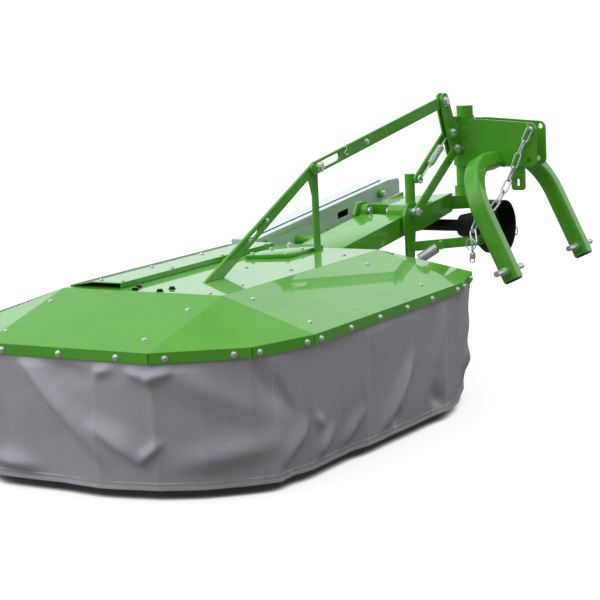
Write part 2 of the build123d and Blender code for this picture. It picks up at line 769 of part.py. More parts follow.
def flat_bar(start, end, width, y, thickness, hole):
    """Flat bar with round ends between two points of a side view, in the layer that starts at y."""
    (x0, z0), (x1, z1) = start, end
    plane = Plane(origin=(x0, y, z0), x_dir=(x1 - x0, 0, z1 - z0), z_dir=(0, 1, 0))
    length = hypot(x1 - x0, z1 - z0)
    with BuildPart() as bar:
        with BuildSketch(plane):
            with Locations((length / 2, 0)):
                SlotCenterToCenter(length, width)
            Circle(hole[0], mode=Mode.SUBTRACT)
            with Locations((length, 0)):
                Circle(hole[1], mode=Mode.SUBTRACT)
        extrude(amount=thickness)
    return bar


# Flat braces from the mast: the front one to the hinge pin, the rear one to the spring post's stud
front_brace = flat_bar(
    MAST_AT[2][:2], (HINGE_X, HINGE_Z), BRACE_W[0], MAST_LAYERS[0] + MAST_T + SEAT, MAST_T, (LIFT_PIN_R, HINGE_R)
)
STUD_AT = (PIVOT_X + POST_AT[0], POST_TOP_Z - 20)
rear_brace = flat_bar(
    MAST_AT[1][:2], STUD_AT, BRACE_W[1], MAST_LAYERS[1] - SEAT - MAST_T, MAST_T, (LIFT_PIN_R, STUD_R + 0.1)
)
with BuildPart() as braces:
    add(front_brace.part)
    add(rear_brace.part)
keep(braces, "mast_braces")

# Spring post on the arm's box, with the stud that takes the rear brace and the relief spring's eye
with BuildPart() as spring_post:
    with BuildSketch(Plane.XY.offset(BOX_Z + BOX_H)):
        with Locations((PIVOT_X + POST_AT[0], POST_AT[1])):
            Circle(POST_R)
    extrude(amount=POST_TOP_Z - BOX_Z - BOX_H)
    with BuildSketch(Plane.XZ.offset(-POST_AT[1])):
        with Locations(STUD_AT):
            Circle(STUD_R)
    extrude(amount=-(STUD_END_Y - POST_AT[1]))
keep(spring_post, "spring_post")

# Relief spring between the braces, from the mast's middle pin to the stud
PULL = Vector(STUD_AT[0] - MAST_AT[1][0], 0, STUD_AT[1] - MAST_AT[1][1])
PULL_LEN = PULL.length
PULL = PULL.normalized()
PULL_FROM = Vector(MAST_AT[1][0], LINK_Y, MAST_AT[1][1])
with BuildPart() as relief:
    for along, hole in ((0, LIFT_PIN_R), (PULL_LEN, STUD_R)):
        eye = PULL_FROM + PULL * along
        with BuildSketch(Plane.XZ.offset(-LINK_Y)):
            with Locations((eye.X, eye.Z)):
                Circle(hole + SEAT + 2 * WIRE_R)
                Circle(hole + SEAT, mode=Mode.SUBTRACT)
        extrude(amount=WIRE_R, both=True)
    for along, radius, length in (
        (LIFT_PIN_R + WIRE_R, WIRE_R, PULL_LEN - LIFT_PIN_R - STUD_R - 2 * WIRE_R),
        (PULL_LEN / 2 - RELIEF_LENGTH / 2, RELIEF_R, RELIEF_LENGTH),
    ):
        with BuildSketch(Plane(origin=PULL_FROM + PULL * along, z_dir=PULL)):
            Circle(radius)
        extrude(amount=length)
keep(relief, "relief_spring")

# Headstock: plate bent round the pivot tube, its two cheeks take the top link
with BuildPart() as head:
    with BuildSketch(Plane.XY.offset(HEAD_LOW_Z)):
        outer = PIVOT_TUBE_R + SEAT + HEAD_T
        with Locations((PIVOT_X, PIVOT_Y)):
            Circle(outer)
        with Locations((PIVOT_X, (PIVOT_Y + HEAD_FRONT_Y) / 2)):
            Rectangle(2 * outer, HEAD_FRONT_Y - PIVOT_Y)
        with Locations((PIVOT_X, PIVOT_Y)):
            Circle(PIVOT_TUBE_R + SEAT, mode=Mode.SUBTRACT)
        with Locations((PIVOT_X, (PIVOT_Y + HEAD_FRONT_Y) / 2 + 1)):
            Rectangle(2 * (PIVOT_TUBE_R + SEAT), HEAD_FRONT_Y - PIVOT_Y + 2, mode=Mode.SUBTRACT)
    extrude(amount=HEAD_TOP_Z - HEAD_LOW_Z)
    with BuildSketch(Plane.YZ.offset(PIVOT_X)):
        with BuildLine():
            FilletPolyline(
                (PIVOT_Y - 2 * outer, HEAD_LOW_Z),
                (PIVOT_Y - 2 * outer, HEAD_TOP_Z),
                (HEAD_BEND_Y, HEAD_TOP_Z),
                (HEAD_FRONT_Y, HEAD_FRONT_Z),
                (HEAD_FRONT_Y, HEAD_LOW_Z),
                radius=HEAD_CORNER,
                close=True,
            )
        make_face()
    extrude(amount=2 * outer, both=True, mode=Mode.INTERSECT)
    with BuildSketch(Plane.YZ.offset(PIVOT_X)):
        with Locations(TOP_LINK_LOW, TOP_LINK_HIGH):
            Circle(TOP_LINK_R)
    extrude(amount=2 * outer, both=True, mode=Mode.SUBTRACT)
keep(head, "headstock_plate")

with BuildPart() as tube:
    with BuildSketch(Plane.XY.offset(PIVOT_LOW_Z)):
        with Locations((PIVOT_X, PIVOT_Y)):
            Circle(PIVOT_TUBE_R)
            Circle(PIVOT_R + RUN, mode=Mode.SUBTRACT)
    extrude(amount=HEAD_TOP_Z - PIVOT_LOW_Z)
keep(tube, "pivot_tube")

# Legs: bent square tubes down to the lower link pins
LEG_DIR = Vector(0, LOWER_PIN[0] - LEG_ROOT[0], LOWER_PIN[1] - LEG_ROOT[1])
LEG_LEN = LEG_DIR.length
LEG_DIR = LEG_DIR.normalized()
CHEEK = PIVOT_TUBE_R + SEAT + HEAD_T
for side, sign in (("right", 1), ("left", -1)):
    root = Vector(PIVOT_X + sign * CHEEK, LEG_ROOT[0], LEG_ROOT[1])
    knee = Vector(PIVOT_X + sign * LEG_SPREAD / 2, LEG_ROOT[0], LEG_ROOT[1])
    foot = knee + LEG_DIR * (LEG_LEN + LEG_TAIL)
    with BuildPart() as leg:
        with BuildLine():
            FilletPolyline(root, knee, foot, radius=LEG_BEND)
        with BuildSketch(Plane(origin=root, x_dir=LEG_DIR, z_dir=(sign, 0, 0))):
            RectangleRounded(LEG_SIZE, LEG_SIZE, LEG_CORNER)
        sweep()
        with BuildSketch(Plane.YZ.offset(knee.X)):
            with Locations(LOWER_PIN):
                Circle(PIN_BOSS_R)
        extrude(amount=LEG_SIZE / 2 + PIN_BOSS_T, both=True)
        with BuildSketch(Plane.YZ.offset(knee.X)):
            with Locations(LOWER_PIN):
                Circle(PIN_SHANK_R + SEAT / 3)
        extrude(amount=LEG_SIZE, both=True, mode=Mode.SUBTRACT)
        if side == "right":
            # Lug on the back of the leg for the latch pin
            reach = Vector(*LATCH_PIN) - Vector(LATCH_PIN[0], *LEG_ROOT)
            axis_at = Vector(0, *LEG_ROOT) + LEG_DIR * LEG_DIR.dot(Vector(0, reach.Y, reach.Z))
            pin = Vector(0, LATCH_PIN[1], LATCH_PIN[2])
            half = LEG_DIR * LATCH_LUG[2]
            root_half = LEG_DIR * LATCH_LUG[3]
            ears = [pin - half, axis_at - root_half, axis_at + root_half, pin + half]
            with BuildSketch(Plane.YZ.offset(PIVOT_X + LATCH_LUG[0])):
                with BuildLine():
                    Polyline([(v.Y, v.Z) for v in ears], close=True)
                make_face()
                with Locations(LATCH_PIN[1:]):
                    Circle(LATCH_LUG[2])
                    Circle(LATCH_PIN_R + SEAT / 3, mode=Mode.SUBTRACT)
            extrude(amount=LATCH_LUG[1])
    keep(leg, f"{side}_leg")

with BuildPart() as lower_pins:
    for sign in (1, -1):
        middle = PIVOT_X + sign * LEG_SPREAD / 2
        with BuildSketch(Plane.YZ.offset(middle)):
            with Locations(LOWER_PIN):
                Circle(LOWER_PIN_R)
        extrude(amount=LEG_SIZE / 2 + LOWER_PIN_OUT, both=True)
        # Thicker shank through the leg and its bosses
        with BuildSketch(Plane.YZ.offset(middle)):
            with Locations(LOWER_PIN):
                Circle(PIN_SHANK_R)
        extrude(amount=LEG_SIZE / 2 + PIN_BOSS_T, both=True)
keep(lower_pins, "lower_link_pins")

# Plate inside the near cheek where the drive shaft is hung up when parked
X0, X1, Y0, Y1, Z0, Z1 = REST
with BuildPart() as rest:
    with BuildSketch(Plane.YZ.offset(PIVOT_X + X0)):
        with BuildLine():
            FilletPolyline((Y0, Z1), (Y0, Z0), (Y1, Z0), (Y1, Z1), radius=12, close=True)
        make_face()
        with Locations(((Y0 + Y1) / 2, Z0 + 30)):
            SlotOverall(30, 14, rotation=90, mode=Mode.SUBTRACT)
    extrude(amount=X1 - X0)
keep(rest, "shaft_rest")

# Latch pin across the leg's lug and the strut's fork
PIN_Y, PIN_Z = LATCH_PIN[1:]
with BuildPart() as latch_pin:
    with BuildSketch(Plane.YZ.offset(PIVOT_X + LATCH_PIN_SPAN[0])):
        with Locations((PIN_Y, PIN_Z)):
            Circle(LATCH_PIN_R)
    extrude(amount=LATCH_PIN_SPAN[1] - LATCH_PIN_SPAN[0])
    with BuildSketch(Plane.YZ.offset(PIVOT_X + LATCH_PIN_SPAN[0])):
        with Locations((PIN_Y, PIN_Z)):
            Circle(LATCH_PIN_R + 5)
    extrude(amount=LATCH_LUG[0] - LATCH_PIN_SPAN[0] - SEAT)
keep(latch_pin, "latch_pin")

# Breakaway strut from the arm's tab to the latch pin, its fork open forward so that the pin can leave
TAB_Y = ARM_GAP / 2 + ARM_PLATE_T + SEAT
FOOT = Vector(PIVOT_X + LATCH_FOOT[0], TAB_Y, LATCH_FOOT[1])
LATCH_DIR = Vector(PIVOT_X + LATCH_PIN[0], PIN_Y, PIN_Z) - FOOT
LATCH_LEN = LATCH_DIR.length
LATCH_DIR = LATCH_DIR.normalized()
LATCH_OUT = Vector(LATCH_DIR.Y, -LATCH_DIR.X, 0).normalized()
LATCH_PLANE = Plane(origin=FOOT - LATCH_OUT * (LATCH_T / 2), x_dir=LATCH_DIR, z_dir=LATCH_OUT)
FORK_GAP = 2 * LATCH_PIN_R + 3
with BuildPart() as latch_strut:
    with BuildSketch(LATCH_PLANE):
        with Locations((LATCH_LEN / 2 - LATCH_H / 2, 0)):
            Rectangle(LATCH_LEN + LATCH_H, LATCH_H)
        with Locations((LATCH_LEN, 0)):
            Circle(FORK_R)
        with Locations((LATCH_LEN, 0)):
            SlotCenterPoint((0, 0), (FORK_R, 0), FORK_GAP, mode=Mode.SUBTRACT)
        with Locations((LATCH_LEN - FORK_GAP / 4, 0)):
            Circle(FORK_GAP / 2, mode=Mode.SUBTRACT)
        with Locations((EYE_AT, 0)):
            Circle(EYE_R)
    extrude(amount=LATCH_T)
    with BuildSketch(LATCH_PLANE.offset(LATCH_T)):
        with Locations((EYE_AT, 0)):
            Circle(EYE_R)
    extrude(amount=EYE_LENGTH)
    with Locations((FOOT.X, TAB_Y - LATCH_LEN / 2, FOOT.Z)):
        Box(LATCH_LEN, LATCH_LEN, LATCH_LEN, mode=Mode.SUBTRACT)
keep(latch_strut, "latch_strut")

# Spring on its rod between the strut's eye and the tab
EYE = FOOT + LATCH_DIR * EYE_AT + LATCH_OUT * (LATCH_T / 2 + EYE_LENGTH / 2)
COIL_DIR = Vector(PIVOT_X + COIL_FOOT[0], TAB_Y, COIL_FOOT[1]) - EYE
COIL_SPAN = COIL_DIR.length
COIL_DIR = COIL_DIR.normalized()
with BuildPart() as latch_spring:
    with BuildSketch(Plane(origin=EYE, z_dir=COIL_DIR)):
        Circle(COIL_ROD_R)
    extrude(amount=COIL_SPAN + COIL_ROD_R)
    with BuildSketch(Plane(origin=EYE + COIL_DIR * (EYE_R + 4), z_dir=COIL_DIR)):
        Circle(COIL_R)
    extrude(amount=COIL_LENGTH)
    add(latch_strut.part, mode=Mode.SUBTRACT)
    with Locations((EYE.X, TAB_Y - SEAT / 2 - COIL_SPAN, EYE.Z)):
        Box(2 * COIL_SPAN, 2 * COIL_SPAN, 2 * COIL_SPAN, mode=Mode.SUBTRACT)
keep(latch_spring, "latch_spring")

# Hook in the upper top link hole, turned up at its end, that the safety chain hangs from
HOOK_Y = TOP_LINK_HIGH[0]
HOOK_Z = TOP_LINK_HIGH[1] - TOP_LINK_R + HOOK_R + SEAT
with BuildPart() as hook:
    with BuildSketch(Plane.YZ.offset(PIVOT_X + PIVOT_TUBE_R - HOOK_R)):
        with Locations((HOOK_Y, HOOK_Z)):
            Circle(3 * HOOK_R)
    extrude(amount=HOOK_R)
    with BuildLine():
        FilletPolyline(
            (PIVOT_X + PIVOT_TUBE_R - HOOK_R, HOOK_Y, HOOK_Z),
            (PIVOT_X + HOOK_OUT, HOOK_Y, HOOK_Z),
            (PIVOT_X + HOOK_OUT, HOOK_Y, HOOK_Z + 7 * HOOK_R),
            radius=2 * HOOK_R,
        )
    with BuildSketch(Plane.YZ.offset(PIVOT_X + PIVOT_TUBE_R - HOOK_R)):
        with Locations((HOOK_Y, HOOK_Z)):
            Circle(HOOK_R)
    sweep()
keep(hook, "chain_hook")

# Safety chain from the hook, behind the right leg, to the latch pin
CHAIN_ROUTE = [
    (58.5, HOOK_Y + 1.5, HOOK_Z + HOOK_R - 0.5),
    (72, 395, 785),
    (92, 362, 690),
    (146, 346, 622),
    (216, 336, 582),
    (286, 328, 562),
    (330, 325, 550),
    (358, 328, 524),
    (379.5, 344.4, PIN_Z - LATCH_PIN_R - 0.1),
]
RUNS = [(Vector(b) - Vector(a)).length for a, b in zip(CHAIN_ROUTE, CHAIN_ROUTE[1:])]
PITCH = sum(RUNS) / CHAIN_COUNT


def chain_point(distance):
    """Point of the chain's route at a distance from the hook."""
    for a, b, run in zip(CHAIN_ROUTE, CHAIN_ROUTE[1:], RUNS):
        if distance <= run:
            return Vector(PIVOT_X, 0, 0) + Vector(a) + (Vector(b) - Vector(a)) * (distance / run)
        distance -= run
    return Vector(PIVOT_X, 0, 0) + Vector(CHAIN_ROUTE[-1])


SIDE = CHAIN_WIDTH / 2 - CHAIN_WIRE_R
TIP = (PITCH + CHAIN_PLAY) / 2 + CHAIN_WIRE_R
with BuildPart() as chain:
    for i in range(CHAIN_COUNT):
        start, end = chain_point(i * PITCH), chain_point((i + 1) * PITCH)
        along = (end - start).normalized()
        across = along.cross(Vector(1, 0, 0)).normalized()
        normal = along.cross(across) if i % 2 == 0 else across
        plane = Plane(origin=(start + end) / 2, x_dir=along, z_dir=normal)
        with BuildLine(plane):
            Line((SIDE - TIP, SIDE), (TIP - SIDE, SIDE))
            ThreePointArc((TIP - SIDE, SIDE), (TIP, 0), (TIP - SIDE, -SIDE))
            Line((TIP - SIDE, -SIDE), (SIDE - TIP, -SIDE))
            ThreePointArc((SIDE - TIP, -SIDE), (-TIP, 0), (SIDE - TIP, SIDE))
        with BuildSketch(Plane(origin=plane.from_local_coords((0, SIDE)), z_dir=along)):
            Circle(CHAIN_WIRE_R)
        sweep()
keep(chain, "safety_chain")
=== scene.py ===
import json
import math
from collections import namedtuple

import bmesh
import bpy
from mathutils import Matrix, Vector, noise


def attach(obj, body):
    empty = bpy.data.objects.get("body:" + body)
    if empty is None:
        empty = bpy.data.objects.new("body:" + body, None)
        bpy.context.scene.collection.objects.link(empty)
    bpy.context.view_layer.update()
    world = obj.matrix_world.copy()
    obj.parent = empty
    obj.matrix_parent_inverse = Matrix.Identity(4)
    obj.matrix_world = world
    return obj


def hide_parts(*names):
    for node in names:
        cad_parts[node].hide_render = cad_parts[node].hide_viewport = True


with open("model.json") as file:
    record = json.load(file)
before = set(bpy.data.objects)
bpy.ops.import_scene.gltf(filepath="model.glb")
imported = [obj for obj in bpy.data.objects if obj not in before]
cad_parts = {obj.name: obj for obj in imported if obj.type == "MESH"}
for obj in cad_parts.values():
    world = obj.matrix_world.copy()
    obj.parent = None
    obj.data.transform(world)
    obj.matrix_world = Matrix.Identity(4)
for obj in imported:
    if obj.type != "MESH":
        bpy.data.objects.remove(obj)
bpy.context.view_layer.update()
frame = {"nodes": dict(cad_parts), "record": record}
bpy.ops.object.select_all(action="DESELECT")

# Places shared with the solids, in metres: X of the cover's middle and of the swing pivot, heights
# of the curtain's ends, the lip's bolts and the sheets on top, and the lip's corners
CUT_X = 0.54625
PIVOT_X = -0.99875
HEM_Z, CLOTH_TOP = 0.030, 0.433
LIP_BOLT_Z = 0.4285
TOP_Z, HATCH_Z = 0.550, 0.568
SHORT, MID, LONG = (0.498, 0.620), (0.727, 0.545), (0.900, 0.299)
UP, TO_FRONT = (0, 0, 1), (0, 1, 0)


# Finishes

def linear(hex_colour):
    """Linear colour of an sRGB hex value."""
    parts = [int(hex_colour[i:i + 2], 16) / 255 for i in (1, 3, 5)]
    return [c / 12.92 if c <= 0.04045 else ((c + 0.055) / 1.055) ** 2.4 for c in parts] + [1]


def grey(value):
    """An even grey of a linear value."""
    return [value, value, value, 1]


def cool(value):
    """The faintly blue white of a clouded sky."""
    return [0.96 * value, value, 1.04 * value, 1]


def stripe(edges, level):
    """Stops of a line across a map: full between its middle edges, nothing past its outer ones."""
    return [(edge, grey(value)) for edge, value in zip(edges, (0, level, level, 0))]


def add(tree, kind, links=(), stops=(), **settings):
    """Adds one node, sets its inputs, properties and stops of place and colour, and links other
    sockets to its inputs."""
    made = tree.nodes.new(kind)
    for key, value in settings.items():
        if key in made.inputs:
            made.inputs[key].default_value = value
        else:
            setattr(made, key, value)
    if stops:
        elements = made.color_ramp.elements
        while len(elements) < len(stops):
            elements.new(0.5)
        for element, (place, colour) in zip(elements, stops):
            element.position = place
            element.color = colour
    for socket, key in links:
        tree.links.new(socket, made.inputs[key])
    return made


def finish_named(name):
    """An empty material with its tree and shader."""
    mat = bpy.data.materials.new(name)
    mat.use_nodes = True
    return mat, mat.node_tree, mat.node_tree.nodes["Principled BSDF"]


def feed(tree, shader, tone, dull, normal):
    """Links a finish's colour, roughness and bump to its shader."""
    tree.links.new(tone, shader.inputs["Base Color"])
    tree.links.new(dull, shader.inputs["Roughness"])
    tree.links.new(normal, shader.inputs["Normal"])


def gloss_enamel(name, light, deep, clear, haze):
    """Stoved enamel on steel: an even colour under a clear gloss that mirrors the sky at low
    angles, faint orange peel, and a thin film of dust that dulls it in patches."""
    mat, tree, shader = finish_named(name)
    place = add(tree, "ShaderNodeTexCoord").outputs["Object"]
    # Patches of colour 200 mm across, of dust 45 mm
    cloud = add(tree, "ShaderNodeTexNoise", [(place, "Vector")], Scale=5.0, Detail=4.0)
    tone = add(
        tree, "ShaderNodeValToRGB", [(cloud.outputs["Fac"], "Fac")],
        [(0.30, linear(deep)), (0.70, linear(light))],
    )
    film = add(
        tree, "ShaderNodeTexNoise", [(place, "Vector")], Scale=22.0, Detail=5.0, Roughness=0.6,
    )
    dull = add(
        tree, "ShaderNodeValToRGB", [(film.outputs["Fac"], "Fac")],
        [(0.35, grey(haze)), (0.75, grey(haze + 0.12))],
    )
    # Orange peel is about 4 mm across, drawn at 8 mm so that it shows
    peel = add(tree, "ShaderNodeTexNoise", [(place, "Vector")], Scale=125.0, Detail=1.0)
    bump = add(
        tree, "ShaderNodeBump", [(peel.outputs["Fac"], "Height")], Strength=0.03, Distance=0.001,
    )
    feed(tree, shader, tone.outputs["Color"], dull.outputs["Color"], bump.outputs["Normal"])
    shader.inputs["IOR"].default_value = 1.5
    shader.inputs["Specular IOR Level"].default_value = 0.12
    shader.inputs["Coat Weight"].default_value = clear
    shader.inputs["Coat Roughness"].default_value = 0.03
    return mat


def plated_steel(name, light, deep, roughness, grain):
    """Rolled or plated steel: metal with a fine drawn grain and cloudy patches of duller plate."""
    mat, tree, shader = finish_named(name)
    place = add(tree, "ShaderNodeTexCoord").outputs["Object"]
    # Patches of plate 55 mm across
    cloud = add(
        tree, "ShaderNodeTexNoise", [(place, "Vector")], Scale=18.0, Detail=5.0, Roughness=0.6,
    )
    tone = add(
        tree, "ShaderNodeValToRGB", [(cloud.outputs["Fac"], "Fac")],
        [(0.30, linear(deep)), (0.70, linear(light))],
    )
    # Drawn lines are under 1 mm apart, drawn at 3 to 5 mm so that they show
    stretch = add(
        tree, "ShaderNodeMapping", [(place, "Vector")], Scale=(grain / 12, grain, grain),
    )
    drawn = add(
        tree, "ShaderNodeTexNoise", [(stretch.outputs["Vector"], "Vector")], Scale=1.0, Detail=3.0,
    )
    dull = add(
        tree, "ShaderNodeValToRGB", [(drawn.outputs["Fac"], "Fac")],
        [(0.3, grey(roughness)), (0.7, grey(roughness + 0.16))],
    )
    bump = add(
        tree, "ShaderNodeBump", [(drawn.outputs["Fac"], "Height")], Strength=0.06, Distance=0.001,
    )
    feed(tree, shader, tone.outputs["Color"], dull.outputs["Color"], bump.outputs["Normal"])
    shader.inputs["Metallic"].default_value = 1.0
    return mat


def moulded(name, light, deep, roughness, grit):
    """Moulded or rubbery black plastic: a fine pebble texture and grey dust in it."""
    mat, tree, shader = finish_named(name)
    place = add(tree, "ShaderNodeTexCoord").outputs["Object"]
    # Patches of dust 70 mm across
    cloud = add(tree, "ShaderNodeTexNoise", [(place, "Vector")], Scale=14.0, Detail=5.0)
    tone = add(
        tree, "ShaderNodeValToRGB", [(cloud.outputs["Fac"], "Fac")],
        [(0.35, linear(deep)), (0.75, linear(light))],
    )
    dull = add(
        tree, "ShaderNodeValToRGB", [(cloud.outputs["Fac"], "Fac")],
        [(0.3, grey(roughness)), (0.8, grey(roughness + 0.15))],
    )
    # Pebbles are about 1 mm across, drawn at 2.4 mm so that they show
    pebble = add(tree, "ShaderNodeTexVoronoi", [(place, "Vector")], Scale=grit)
    bump = add(
        tree, "ShaderNodeBump", [(pebble.outputs["Distance"], "Height")],
        Strength=0.15, Distance=0.001,
    )
    feed(tree, shader, tone.outputs["Color"], dull.outputs["Color"], bump.outputs["Normal"])
    return mat


def coated_cloth(name, light, deep, weld):
    """PVC-coated polyester: satin skin over a woven scrim, cloudy with dust, with pale welded lines
    at its seams and along the top of its hem, and a painted highlight along the hem's foot."""
    mat, tree, shader = finish_named(name)
    flat = add(tree, "ShaderNodeUVMap", uv_map="cloth").outputs["UV"]
    # Patches of colour 290 mm across
    cloud = add(
        tree, "ShaderNodeTexNoise", [(flat, "Vector")], Scale=3.5, Detail=6.0, Roughness=0.6,
    )
    tone = add(
        tree, "ShaderNodeValToRGB", [(cloud.outputs["Fac"], "Fac")],
        [(0.30, linear(deep)), (0.72, linear(light))],
    )

    # The second map holds the distance from the nearest seam and the height above the foot
    seams = add(tree, "ShaderNodeUVMap", uv_map="seams").outputs["UV"]
    edges = add(tree, "ShaderNodeSeparateXYZ", [(seams, "Vector")])
    at_seam = add(
        tree, "ShaderNodeValToRGB", [(edges.outputs["X"], "Fac")],
        stripe((0.482, 0.490, 0.497, 0.505), 0.8),
    )
    at_hem = add(
        tree, "ShaderNodeValToRGB", [(edges.outputs["Y"], "Fac")],
        stripe((0.205, 0.222, 0.240, 0.246), 0.7),
    )
    # The hem's line comes and goes about every 60 mm
    patchy = add(tree, "ShaderNodeTexNoise", [(flat, "Vector")], Scale=16.0, Detail=2.0)
    broken = add(
        tree, "ShaderNodeValToRGB", [(patchy.outputs["Fac"], "Fac")],
        [(0.40, grey(0)), (0.58, grey(1))],
    )
    hem_line = add(
        tree, "ShaderNodeMath", [(at_hem.outputs["Color"], 0), (broken.outputs["Color"], 1)],
        operation="MULTIPLY",
    )
    # Painted highlight: a pale band along the hem's foot, where its rounded fold would catch the
    # light
    painted_foot_highlight = add(
        tree, "ShaderNodeValToRGB", [(edges.outputs["Y"], "Fac")],
        [(0.0, grey(0.6)), (0.035, grey(0.6)), (0.060, grey(0))],
    )
    level = add(
        tree, "ShaderNodeMath", [(hem_line.outputs["Value"], 0), (painted_foot_highlight.outputs["Color"], 1)],
        operation="MAXIMUM",
    )
    # The welds' lines and the painted highlight at the hem's foot, as one share of pale colour
    lines = add(
        tree, "ShaderNodeMath", [(at_seam.outputs["Color"], 0), (level.outputs["Value"], 1)],
        operation="MAXIMUM",
    )
    # In a colour mix, input 0 is the share, 6 and 7 are the colours, and output 2 is the result
    pale = add(
        tree, "ShaderNodeMix", [(lines.outputs["Value"], 0), (tone.outputs["Color"], 6)],
        data_type="RGBA",
    )
    # The welds' pale colour, which also paints the highlight at the hem's foot
    pale.inputs[7].default_value = linear(weld)
    # Patches of dust 70 mm across
    film = add(tree, "ShaderNodeTexNoise", [(flat, "Vector")], Scale=14.0, Detail=5.0)
    dull = add(
        tree, "ShaderNodeValToRGB", [(film.outputs["Fac"], "Fac")],
        [(0.30, grey(0.30)), (0.75, grey(0.44))],
    )

    # Scrim threads are 1.1 mm apart, drawn at 6 mm so that the weave shows
    warp, weft = (
        add(
            tree, "ShaderNodeTexWave", [(flat, "Vector")],
            Scale=53.0, bands_direction=way, wave_profile="SIN",
        )
        for way in "XY"
    )
    weave = add(
        tree, "ShaderNodeMath", [(warp.outputs["Fac"], 0), (weft.outputs["Fac"], 1)],
        operation="MULTIPLY",
    )
    fine = add(
        tree, "ShaderNodeBump", [(weave.outputs["Value"], "Height")], Strength=0.05, Distance=0.001,
    )
    overlap = add(
        tree, "ShaderNodeValToRGB", [(edges.outputs["X"], "Fac")],
        stripe((0.36, 0.38, 0.49, 0.505), 1),
    )
    step = add(
        tree, "ShaderNodeBump",
        [(overlap.outputs["Color"], "Height"), (fine.outputs["Normal"], "Normal")],
        Strength=0.5, Distance=0.002,
    )
    # Crinkles from folding, 140 mm across
    crinkle = add(
        tree, "ShaderNodeTexNoise", [(flat, "Vector")], Scale=7.0, Detail=3.0, Distortion=0.6,
    )
    broad = add(
        tree, "ShaderNodeBump",
        [(crinkle.outputs["Fac"], "Height"), (step.outputs["Normal"], "Normal")],
        Strength=0.35, Distance=0.012,
    )
    feed(tree, shader, pale.outputs[2], dull.outputs["Color"], broad.outputs["Normal"])
    shader.inputs["Sheen Weight"].default_value = 0.05
    shader.inputs["IOR"].default_value = 1.5
    return mat


# Leaf green of sheets and tubes, washed out by the sky where it lies flat
green = gloss_enamel("stoved_green_enamel", "#5EB42A", "#57AA25", clear=1.0, haze=0.30)
# The same green, darker and with little gloss on rough cast iron
green_cast = gloss_enamel(
    "green_enamel_on_castings", "#4F9A25", "#478C20", clear=0.4, haze=0.42,
)
# Pale cool grey of the belt guard
grey_enamel = gloss_enamel("light_grey_enamel", "#DDE5E4", "#D3DBDA", clear=1.0, haze=0.30)
# Near black with a half gloss on the shaft housing, the bell's ring and the top's black bolts
black_enamel = gloss_enamel("black_enamel", "#1C1E1C", "#141614", clear=0.5, haze=0.40)
# Bright silver of bolts, pins, springs and chain
zinc = plated_steel("bright_zinc_plate", "#FAFAF7", "#ECEDEA", roughness=0.36, grain=300)
# Darker bare steel of knives and saucers, scoured by grass
worn_steel = plated_steel("worn_plain_steel", "#A4A29E", "#84817C", roughness=0.34, grain=220)
# Dull black of the bell, the legs' caps and the guard's seal
rubber = moulded(
    "black_moulded_polyethylene", "#24252A", "#121316", roughness=0.42, grit=420,
)
# Mid grey of the curtain, soft in its folds, paler at the welds, with a painted highlight along the
# hem's foot
cloth = coated_cloth("grey_coated_tarpaulin", "#BCB9C0", "#A8A6AD", weld="#DCDCE0")

BY_SLOT = {
    "green_paint": green,
    "grey_paint": grey_enamel,
    "black_paint": black_enamel,
    "curtain_pvc": cloth,
    "black_plastic": rubber,
    "bare_steel": worn_steel,
    "zinc_steel": zinc,
    "cast_iron": green_cast,
}
# Rounding of the solids' edges, and the angle from which a fold stays crisp
USUAL_EDGE, USUAL_CRISP, SHEET_CRISP = 0.0015, math.radians(20), math.radians(3)
NODE_EDGE = {"safety_chain": 0, "chain_hook": 0, "guard_front": 0.0008, "guard_cover": 0.0008}
FOLDED_SHEET = (
    "front_panel", "rear_panel", "outer_panel", "inner_panel", "top_plate", "top_hatch",
)
for row in frame["record"]["subparts"]:
    solid = frame["nodes"][row["node"]]
    solid.data.materials.clear()
    solid.data.materials.append(BY_SLOT[row["material_slot"]])
    weld = solid.modifiers.new("weld", "WELD")
    weld.merge_threshold = 0.00005
    edge = NODE_EDGE.get(row["node"], USUAL_EDGE)
    if edge:
        bevel = solid.modifiers.new("edge", "BEVEL")
        bevel.width = edge
        bevel.segments = 2
        bevel.limit_method = "ANGLE"
        bevel.angle_limit = math.radians(32)
    crisp = solid.modifiers.new("crisp", "EDGE_SPLIT")
    crisp.split_angle = SHEET_CRISP if row["node"] in FOLDED_SHEET else USUAL_CRISP
    for face in solid.data.polygons:
        face.use_smooth = True


# Making pieces

# Faces of a bolt that meet at less than this shade as one, in degrees
BOLT_SMOOTH = 35


def clean_start():
    """Leaves nothing chosen."""
    bpy.ops.object.select_all(action="DESELECT")


def done(piece, name, mat, body, smooth=40):
    """Names a piece, sets its finish, applies its place to its mesh and lets it ride on a body."""
    clean_start()
    piece.select_set(True)
    bpy.context.view_layer.objects.active = piece
    bpy.ops.object.transform_apply(location=True, rotation=True, scale=True)
    bpy.ops.object.shade_smooth_by_angle(angle=math.radians(smooth))
    piece.name = name
    piece.data.name = name
    piece.data.materials.clear()
    piece.data.materials.append(mat)
    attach(piece, body)
    return piece


def drop(piece):
    """Takes a used pattern away."""
    bpy.data.objects.remove(piece, do_unlink=True)


def join(pieces):
    """Makes one piece of several."""
    clean_start()
    for piece in pieces:
        piece.select_set(True)
    bpy.context.view_layer.objects.active = pieces[0]
    if len(pieces) > 1:
        bpy.ops.object.join()
    return pieces[0]


def stand(pattern, places, size=1.0):
    """Copies a pattern to each place at a size, its Z along the given direction, and joins the
    copies."""
    copies = []
    for place, direction in places:
        copy = pattern.copy()
        copy.data = pattern.data.copy()
        turn = Vector(UP).rotation_difference(Vector(direction)).to_matrix().to_4x4()
        move = Matrix.Translation(Vector(place)) @ turn
        copy.data.transform(move @ Matrix.Scale(size, 4) @ pattern.matrix_world)
        copy.matrix_world = Matrix.Identity(4)
        bpy.context.collection.objects.link(copy)
        copies.append(copy)
    return join(copies)


